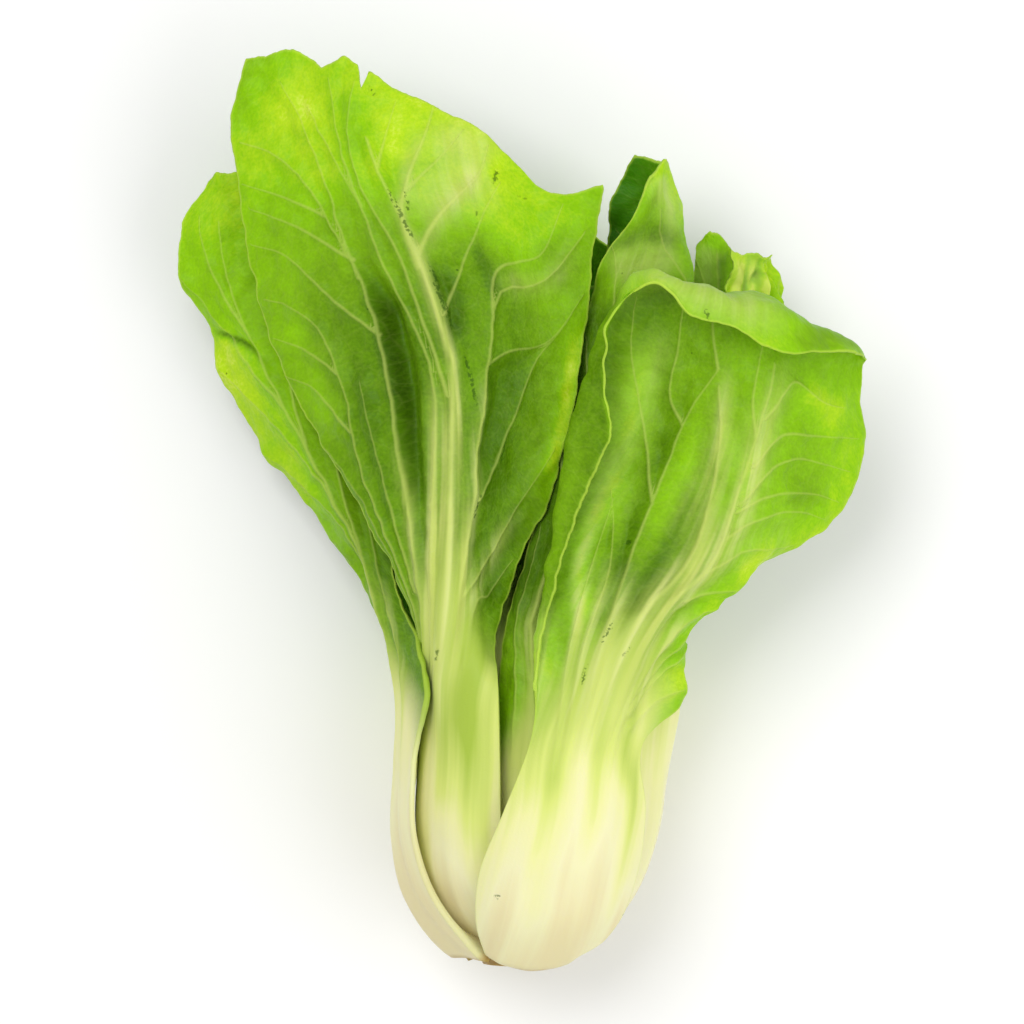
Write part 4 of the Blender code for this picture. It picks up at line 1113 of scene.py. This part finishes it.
def leaf_material(name, colours):
    """Fresh leaf: a cell-filled skin with a thin wax bloom.

    The blade is a satin green, darker and more even in colour, with paler veins that branch to
    a fine net, and a thin pale line along the margin, which paints the light that shines through
    the thin edge. Painted shade in folds and recesses and painted sheen on pale parts are among its
    greens. The petiole is smooth and juicy, cream at the foot, with soft lengthwise streaks of
    yellow-green and some painted shade, and lets some light in.
    """
    material = empty_material(name)
    tree = material.node_tree
    labels = ("adaxial", "adaxial_tone", "along", "blade", "margin", "ripeness_light_and_shade", "strand", "tear", "tone_light_and_shade",
              "vein_core", "vein_gap", "vein_side")
    stored = {}
    for label in labels:
        stored[label] = node(tree, "ShaderNodeAttribute", attribute_name=label).outputs["Fac"]
    blade, along, adaxial = stored["blade"], stored["along"], stored["adaxial"]
    petiole = node(tree, MATH, (1.0, blade), operation="SUBTRACT")
    flat = node(tree, "ShaderNodeUVMap", uv_map="flat")

    def streaks(to_side, lengthwise, detail):
        """Noise drawn out along the petiole, with so many features to a metre each way."""
        drawn_out = node(tree, "ShaderNodeMapping", {"Vector": flat, "Scale": (to_side, lengthwise, 1.0)})
        return node(tree, NOISE, {"Vector": drawn_out, "Scale": 1.0, "Detail": detail})

    # The net of small veins: cells of about 5 mm, bent a little, and one of about 1.6 mm in them.
    bend = node(tree, NOISE, {"Vector": flat, "Scale": 120.0, "Detail": 1.0}).outputs[1]
    bent = node(tree, VECTORS, (bend, (0.003, 0.003, 0.003), flat), operation="MULTIPLY_ADD")
    net = node(tree, CELLS, {"Vector": bent, "Scale": 190.0}, feature="DISTANCE_TO_EDGE")
    net_line = node(tree, RANGE, (net, 0.075, 0.0), **GENTLY)
    net_line = node(tree, MATH, (net_line, blade), operation="MULTIPLY")
    fine_net = node(tree, CELLS, {"Vector": bent, "Scale": 620.0}, feature="DISTANCE_TO_EDGE")
    fine_line = node(tree, RANGE, (fine_net, 0.14, 0.0), **GENTLY)
    fine_line = node(tree, MATH, (fine_line, blade), operation="MULTIPLY")

    # The drawn veins, as sharp as their own width: the gap to them keeps other sides out.
    core = stored["vein_core"]
    on_side = node(tree, MATH, (stored["vein_side"],), operation="ABSOLUTE")
    clear_of = node(tree, MATH, (stored["vein_gap"], 0.45), operation="SUBTRACT")
    off_vein = node(tree, MATH, (on_side, clear_of), operation="MAXIMUM")
    off_vein = node(tree, MATH, (off_vein, core), operation="DIVIDE")
    vein = node(tree, RANGE, (off_vein, 1.3, 0.1), **GENTLY)
    vein_strength = node(tree, RANGE, (core, 0.2, 0.9, 0.45, 1.0), **GENTLY)
    vein = node(tree, MATH, (vein, vein_strength), operation="MULTIPLY")
    blade_vein = node(tree, MATH, (vein, blade), operation="MULTIPLY")

    # The petiole's strands: streaks 3 mm apart and 60 mm long, sharper ones of 2 mm, and broad
    # ones of 9 mm.
    streak = streaks(330.0, 14.0, 2.0)
    sharp_streak = streaks(520.0, 16.0, 1.0)
    broad_streak = streaks(110.0, 9.0, 1.0)

    # The blade's green, which also carries painted shade and highlights, with mottling 20 mm across,
    # a finer one of 5 mm, and pores of 1 mm.
    mottle = node(tree, NOISE, {"Vector": flat, "Scale": 50.0, "Detail": 3.0})
    grain = node(tree, NOISE, {"Vector": flat, "Scale": 220.0, "Detail": 2.0})
    pores = node(tree, NOISE, {"Vector": flat, "Scale": 1100.0, "Detail": 2.0})
    tone_light_and_shade = stored["tone_light_and_shade"]
    for pattern, reach in ((mottle, 0.04), (grain, 0.03), (pores, 0.035)):
        uneven = node(tree, RANGE, (pattern, 0.3, 0.7, -reach, reach), **GENTLY)
        tone_light_and_shade = node(tree, MATH, (tone_light_and_shade, uneven), operation="ADD")
    inner_tone = node(tree, MATH, (adaxial, stored["adaxial_tone"]), operation="MULTIPLY")
    tone_light_and_shade = node(tree, MATH, (tone_light_and_shade, inner_tone), operation="ADD")
    tissue = node(tree, "ShaderNodeValToRGB", (tone_light_and_shade,))
    fill_ramp(
        tissue.color_ramp,
        (0.00, colours.deepest),
        (0.30, colours.deep),
        (0.50, colours.middle),
        (0.72, colours.bright),
        (0.90, colours.light),
        (1.00, colours.palest),
    )
    inner_side = node(tree, RANGE, (stored["adaxial_tone"], -0.05, -0.25, 0.0, 0.6), **GENTLY)
    inner_side = node(tree, MATH, (adaxial, inner_side), operation="MULTIPLY")
    tissue = node(tree, MIX, {0: inner_side, 6: tissue, 7: colours.inner_side}, **IN_COLOUR).outputs[2]

    # The petiole's flesh, greener towards the blade and in its streaks, with painted shade and light
    # in places.
    ripeness_light_and_shade = stored["ripeness_light_and_shade"]
    for pattern, reach in ((streak, 0.025), (broad_streak, 0.065)):
        uneven = node(tree, RANGE, (pattern, 0.3, 0.7, -reach, reach), **GENTLY)
        ripeness_light_and_shade = node(tree, MATH, (ripeness_light_and_shade, uneven), operation="ADD")
    flesh = node(tree, "ShaderNodeValToRGB", (ripeness_light_and_shade,))
    fill_ramp(
        flesh.color_ramp,
        (0.00, colours.foot),
        (0.12, colours.white),
        (0.24, colours.cream),
        (0.34, colours.streak),
        (0.46, colours.greening),
    )

    # The pale strands that run up into the blade, broken into streaks lower down.
    strand_green = node(tree, RANGE, (streak, 0.35, 0.65), **GENTLY)
    strand_colour = node(tree, MIX, {0: strand_green, 6: colours.vein, 7: colours.pale_strand}, **IN_COLOUR)
    broken = node(tree, RANGE, (sharp_streak, 0.38, 0.58, 0.45, 1.0), **GENTLY)
    whole = node(tree, RANGE, (along, 0.6, 0.8, 0.0, 0.85), **GENTLY)
    strand_strength = node(tree, MATH, (broken, whole), operation="MAXIMUM")

    # The line along the margin, which paints the light that shines through the thin edge, and the
    # browned end of the foot.
    edge = node(tree, RANGE, (stored["margin"], 0.75, 0.1), **GENTLY)
    edge_strength = node(tree, RANGE, (blade, 0.0, 1.0, 0.15, 0.6), **GENTLY)
    cut_end = node(tree, RANGE, (along, 0.014, 0.002), **GENTLY)

    # A few dark specks about 0.5 mm across, some 12 mm apart, where the skin was pricked.
    pricks = node(tree, CELLS, {"Vector": flat, "Scale": 85.0}).outputs
    draw = node(tree, "ShaderNodeSeparateColor", (pricks["Color"],))
    drawn = node(tree, RANGE, (draw, 0.55, 0.57), **GENTLY)
    speck = node(tree, RANGE, (pricks["Distance"], 0.036, 0.020), **GENTLY)
    speck = node(tree, MATH, (speck, drawn), operation="MULTIPLY")

    # Tears and scrapes: broken dark flecks of about 1 mm along the lines where the skin was hurt.
    fleck = node(tree, NOISE, {"Vector": flat, "Scale": 900.0, "Detail": 4.0})
    fleck = node(tree, RANGE, (fleck, 0.36, 0.62), **GENTLY)
    hurt = node(tree, MATH, (stored["tear"], fleck), operation="MULTIPLY")
    hurt = node(tree, RANGE, (hurt, 0.22, 0.60), **GENTLY)

    body = node(tree, MIX, {0: blade, 6: flesh, 7: tissue}, **IN_COLOUR).outputs[2]
    layers = (
        (net_line, 0.04, colours.vein),
        (fine_line, 0.02, colours.vein),
        (stored["strand"], strand_strength, strand_colour.outputs[2]),
        (blade_vein, 0.5, colours.vein),
        (edge, edge_strength, colours.margin),
        (cut_end, 1.0, colours.cut),
        (speck, 0.7, colours.speck),
        (hurt, 0.7, colours.speck),
    )
    for pattern, strength, shade in layers:
        share = node(tree, MATH, (pattern, strength), operation="MULTIPLY")
        body = node(tree, MIX, {0: share, 6: body, 7: shade}, **IN_COLOUR).outputs[2]

    # The skin's own relief, each pattern with its height in metres.
    skin = node(tree, NOISE, {"Vector": flat, "Scale": 1500.0, "Detail": 2.0})
    dimples = node(tree, NOISE, {"Vector": flat, "Scale": 260.0, "Detail": 4.0, "Roughness": 0.55})
    dimples = node(tree, MATH, (dimples, blade), operation="MULTIPLY")
    ribs = node(tree, MATH, (streak, petiole), operation="MULTIPLY")
    heights = (
        (net_line, 0.00002), (fine_line, 0.00001), (skin, 0.00003), (dimples, 0.0005),
        (blade_vein, 0.00018), (ribs, 0.00015),
    )
    relief = 0.0
    for pattern, height in heights:
        relief = node(tree, MATH, (pattern, height, relief), operation="MULTIPLY_ADD")
    shader = node(tree, "ShaderNodeBsdfPrincipled", {
        "Base Color": body,
        "Roughness": node(tree, RANGE, (mottle, 0.3, 0.7, 0.36, 0.46), **GENTLY),
        "IOR": 1.42,
        "Subsurface Weight": 0.12,
        "Subsurface Radius": (0.8, 1.0, 0.25),
        "Subsurface Scale": 0.0007,
        "Specular IOR Level": 0.12,
        "Normal": node(tree, "ShaderNodeBump", {"Strength": 1.0, "Distance": 1.0, "Height": relief}),
    })
    node(tree, "ShaderNodeOutputMaterial", {"Surface": shader})
    return material


def cut_stem_material(colours):
    """Cut stem: moist pith sliced with a knife.

    Cream and slightly glossy, with the faint rings of the strands that ran up into the leaves,
    browned by air at the rim.
    """
    material = empty_material("cut stem")
    tree = material.node_tree
    place = node(tree, "ShaderNodeTexCoord").outputs["Object"]
    low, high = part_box("stem_base")
    centre = ((low.x + high.x) / 2, 0.0, (low.z + high.z) / 2)
    centred = node(tree, VECTORS, (place, centre), operation="SUBTRACT")
    on_face = node(tree, VECTORS, (centred, (1.0, 0.0, 1.0)), operation="MULTIPLY")
    out = node(tree, VECTORS, (on_face,), operation="LENGTH").outputs["Value"]
    grain = node(tree, NOISE, {"Vector": place, "Scale": 400.0, "Detail": 4.0})
    out = node(tree, MATH, (grain, 0.0022, out), operation="MULTIPLY_ADD")
    rim = node(tree, RANGE, (out, 0.0075, 0.0108), **GENTLY)
    strands = node(tree, CELLS, {"Vector": centred, "Scale": 620.0})
    spot = node(tree, RANGE, (strands, 0.30, 0.12), **GENTLY)
    pith = node(tree, MIX, {0: spot, 6: colours.white, 7: colours.foot}, **IN_COLOUR).outputs[2]
    shader = node(tree, "ShaderNodeBsdfPrincipled", {
        "Base Color": node(tree, MIX, {0: rim, 6: pith, 7: colours.cut}, **IN_COLOUR).outputs[2],
        "Roughness": 0.42,
        "IOR": 1.40,
        "Subsurface Weight": 0.2,
        "Subsurface Radius": (1.0, 0.8, 0.4),
        "Subsurface Scale": 0.002,
        "Normal": node(tree, "ShaderNodeBump", {"Strength": 0.5, "Distance": 0.0004, "Height": grain}),
    })
    node(tree, "ShaderNodeOutputMaterial", {"Surface": shader})
    return material


def table_material(colours):
    """Matt white laminate board: an even pale surface with no gloss to speak of."""
    material = empty_material("white table board")
    tree = material.node_tree
    shader = node(tree, "ShaderNodeBsdfPrincipled", {"Base Color": colours.table, "Roughness": 0.9})
    node(tree, "ShaderNodeOutputMaterial", {"Surface": shader})
    return material


# What a user can change.


def length(name, description, default):
    return bpy.props.FloatProperty(
        name=name, description=description, default=default, min=0.0, precision=5,
        subtype="DISTANCE", unit="LENGTH"
    )


def colour(name, description, default):
    return bpy.props.FloatVectorProperty(
        name=name, description=description, default=linear(default), size=4, min=0.0, max=1.0,
        subtype="COLOR"
    )


class BokChoySizes(bpy.types.PropertyGroup):
    blade_thickness: length("Blade thickness", "Thickness of a blade between its veins", 0.0006)
    vein_height: bpy.props.FloatProperty(
        name="Vein height", description="How high the veins stand against their usual height",
        default=1.0, min=0.0, max=3.0, subtype="FACTOR"
    )
    quilt_depth: length("Quilt depth", "How far the blade sinks between its veins", 0.0010)
    margin_ruffle: length("Margin ruffle", "How far a blade's margin waves in and out", 0.0008)
    pucker_height: length("Pucker height", "Height of a blade's soft unevenness", 0.0008)
    pucker_size: length("Pucker size", "Width of one pucker in a blade", 0.007)
    rib_height: length("Rib height", "Height of the strands along a petiole", 0.00035)


class BokChoyColours(bpy.types.PropertyGroup):
    # The darkest greens also paint the shade in folds, creases and the recess between the front leaves, and
    # the pale ones the sheen on the blade.
    deepest: colour("Deepest green", "Blade where it is darkest", "#315002")
    deep: colour("Deep green", "Blade beside the strong veins", "#547f06")
    middle: colour("Middle green", "Blade in general", "#74a40e")
    bright: colour("Bright green", "Blade near its margins", "#8ac406")
    light: colour("Light green", "Blade where light comes through", "#b4d91c")
    palest: colour("Palest green", "Blade at its thinnest", "#d2e558")
    inner_side: colour("Inner side", "Upper side of a blade, towards the heart", "#2f8c08")
    vein: colour("Vein", "Midrib and veins", "#c1cf68")
    pale_strand: colour("Pale strand", "Soft rays from a petiole into its blade", "#d3dc86")
    # The margin colour paints the light that shines through a blade's thin edge.
    margin: colour("Margin", "Thin line along the blade's edge", "#bcd84e")
    foot: colour("Foot", "Petiole where it leaves the stem", "#e4d9a8")
    white: colour("White", "Petiole at its whitest", "#ebe8b8")
    cream: colour("Cream", "Petiole in its middle", "#e8e8a2")
    streak: colour("Streak", "Petiole's yellow-green streaks", "#d5e07a")
    greening: colour("Greening", "Petiole where it turns into the blade", "#a9c24a")
    cut: colour("Cut", "Browned edge of the cut root end", "#b99b58")
    speck: colour("Speck", "Small dark marks in the skin", "#33560c")
    table: colour("Table", "The board that the head lies on", "#fafaf9")


# The steps, one operator for each group of like pieces.


class GrowsLeaves:
    """What the steps that grow leaves share: each names its leaves, a slot that is not used, and its
    material.
    """

    slot = "outer_leaf"
    material_name = "full-grown leaf"

    def execute(self, context):
        scene = context.scene
        material = bpy.data.materials.get(self.material_name)
        material = material or leaf_material(self.material_name, scene.bok_choy_colours)
        for name in self.leaves:
            grow_leaf(name, material, scene.bok_choy_sizes)
        return {"FINISHED"}


class BOKCHOY_OT_front_leaves(GrowsLeaves, bpy.types.Operator):
    """Grow the two front leaves, with the fold of the right one and the torn tip of the left"""

    bl_idname = "bok_choy.front_leaves"
    bl_label = "Grow front leaves"
    leaves = FRONT_LEAVES


class BOKCHOY_OT_outer_leaves(GrowsLeaves, bpy.types.Operator):
    """Grow the outer leaves at the sides of the bulb"""

    bl_idname = "bok_choy.outer_leaves"
    bl_label = "Grow outer leaves"
    leaves = OUTER_LEAVES


class BOKCHOY_OT_inner_leaves(GrowsLeaves, bpy.types.Operator):
    """Grow the four inner leaves, one of them rolled at its tip"""

    bl_idname = "bok_choy.inner_leaves"
    bl_label = "Grow inner leaves"
    slot = "inner_leaf"
    material_name = "inner leaf"
    leaves = INNER_LEAVES


class BOKCHOY_OT_back_leaves(GrowsLeaves, bpy.types.Operator):
    """Grow the two back leaves, which the head rests on"""

    bl_idname = "bok_choy.back_leaves"
    bl_label = "Grow back leaves"
    leaves = BACK_LEAVES


class BOKCHOY_OT_heart_leaves(GrowsLeaves, bpy.types.Operator):
    """Grow the small young leaves of the heart"""

    bl_idname = "bok_choy.heart_leaves"
    bl_label = "Grow heart leaves"
    slot = "heart_leaf"
    material_name = "heart leaf"
    leaves = HEART_LEAVES


class BOKCHOY_OT_stem_base(bpy.types.Operator):
    """Give the cut stem its moist pith and browned rim"""

    bl_idname = "bok_choy.stem_base"
    bl_label = "Finish cut stem"

    def execute(self, context):
        finished = cut_stem_material(context.scene.bok_choy_colours)
        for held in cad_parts["stem_base"].material_slots:
            held.material = finished
        return {"FINISHED"}


def add_light(name, place, side, power, aim):
    """Hangs a square light at a place and turns it towards another."""
    lamp = bpy.data.lights.new(name, "AREA")
    lamp.size = side
    lamp.energy = power
    light = bpy.data.objects.new(name, lamp)
    bpy.context.scene.collection.objects.link(light)
    light.location = place
    away = np.array(place, float) - np.array(aim, float)
    away /= np.linalg.norm(away)
    light.rotation_euler = (math.acos(away[2]), 0.0, math.atan2(away[0], -away[1]))


class BOKCHOY_OT_stage(bpy.types.Operator):
    """Lay the pale board, hang soft lights over it and set the camera straight above"""

    bl_idname = "bok_choy.stage"
    bl_label = "Set stage"

    def execute(self, context):
        scene = context.scene
        low, high = CAD_BOX
        mesh = bpy.data.meshes.new("table_board")
        corners = [(x * BOARD_HALF, y * BOARD_HALF, 0) for x, y in ((-1, -1), (1, -1), (1, 1), (-1, 1))]
        mesh.from_pydata(corners, [], [(0, 1, 2, 3)])
        board = bpy.data.objects.new("table_board", mesh)
        scene.collection.objects.link(board)
        mesh.materials.append(table_material(scene.bok_choy_colours))
        for name, place, side, power in LIGHTS:
            add_light(name, place, side, power, (low + high) / 2)
        world = bpy.data.worlds.new("soft room")
        world.use_nodes = True
        background = world.node_tree.nodes["Background"].inputs
        background["Color"].default_value = (1.0, 1.0, 1.0, 1.0)
        background["Strength"].default_value = ROOM_STRENGTH
        scene.world = world
        scene.view_settings.view_transform = "Standard"
        lens = bpy.data.cameras.new("overhead camera")
        lens.lens = LENS
        lens.sensor_width = SENSOR
        camera = bpy.data.objects.new("overhead camera", lens)
        scene.collection.objects.link(camera)
        camera.location = CAMERA_PLACE
        scene.camera = camera
        return {"FINISHED"}


class BOKCHOY_PT_panel(bpy.types.Panel):
    """Lists the steps and the sizes and colours that they use"""

    bl_idname = "BOKCHOY_PT_panel"
    bl_label = "Bok Choy"
    bl_space_type = "VIEW_3D"
    bl_region_type = "UI"
    bl_category = "Bok Choy"

    def draw(self, context):
        for step in STEPS:
            self.layout.operator(step.bl_idname)
        for group in (context.scene.bok_choy_sizes, context.scene.bok_choy_colours):
            for key in group.__annotations__:
                self.layout.prop(group, key)


STEPS = (
    BOKCHOY_OT_stage,
    BOKCHOY_OT_front_leaves,
    BOKCHOY_OT_outer_leaves,
    BOKCHOY_OT_inner_leaves,
    BOKCHOY_OT_back_leaves,
    BOKCHOY_OT_heart_leaves,
    BOKCHOY_OT_stem_base,
)
CLASSES = (BokChoySizes, BokChoyColours, *STEPS, BOKCHOY_PT_panel)


def register():
    for each in CLASSES:
        bpy.utils.register_class(each)
    bpy.types.Scene.bok_choy_sizes = bpy.props.PointerProperty(type=BokChoySizes)
    bpy.types.Scene.bok_choy_colours = bpy.props.PointerProperty(type=BokChoyColours)


def unregister():
    del bpy.types.Scene.bok_choy_colours
    del bpy.types.Scene.bok_choy_sizes
    for each in reversed(CLASSES):
        bpy.utils.unregister_class(each)


def main():
    """Takes every step once."""
    register()
    for step in STEPS:
        group, action = step.bl_idname.split(".")
        getattr(getattr(bpy.ops, group), action)()


if __name__ == "__main__":
    main()
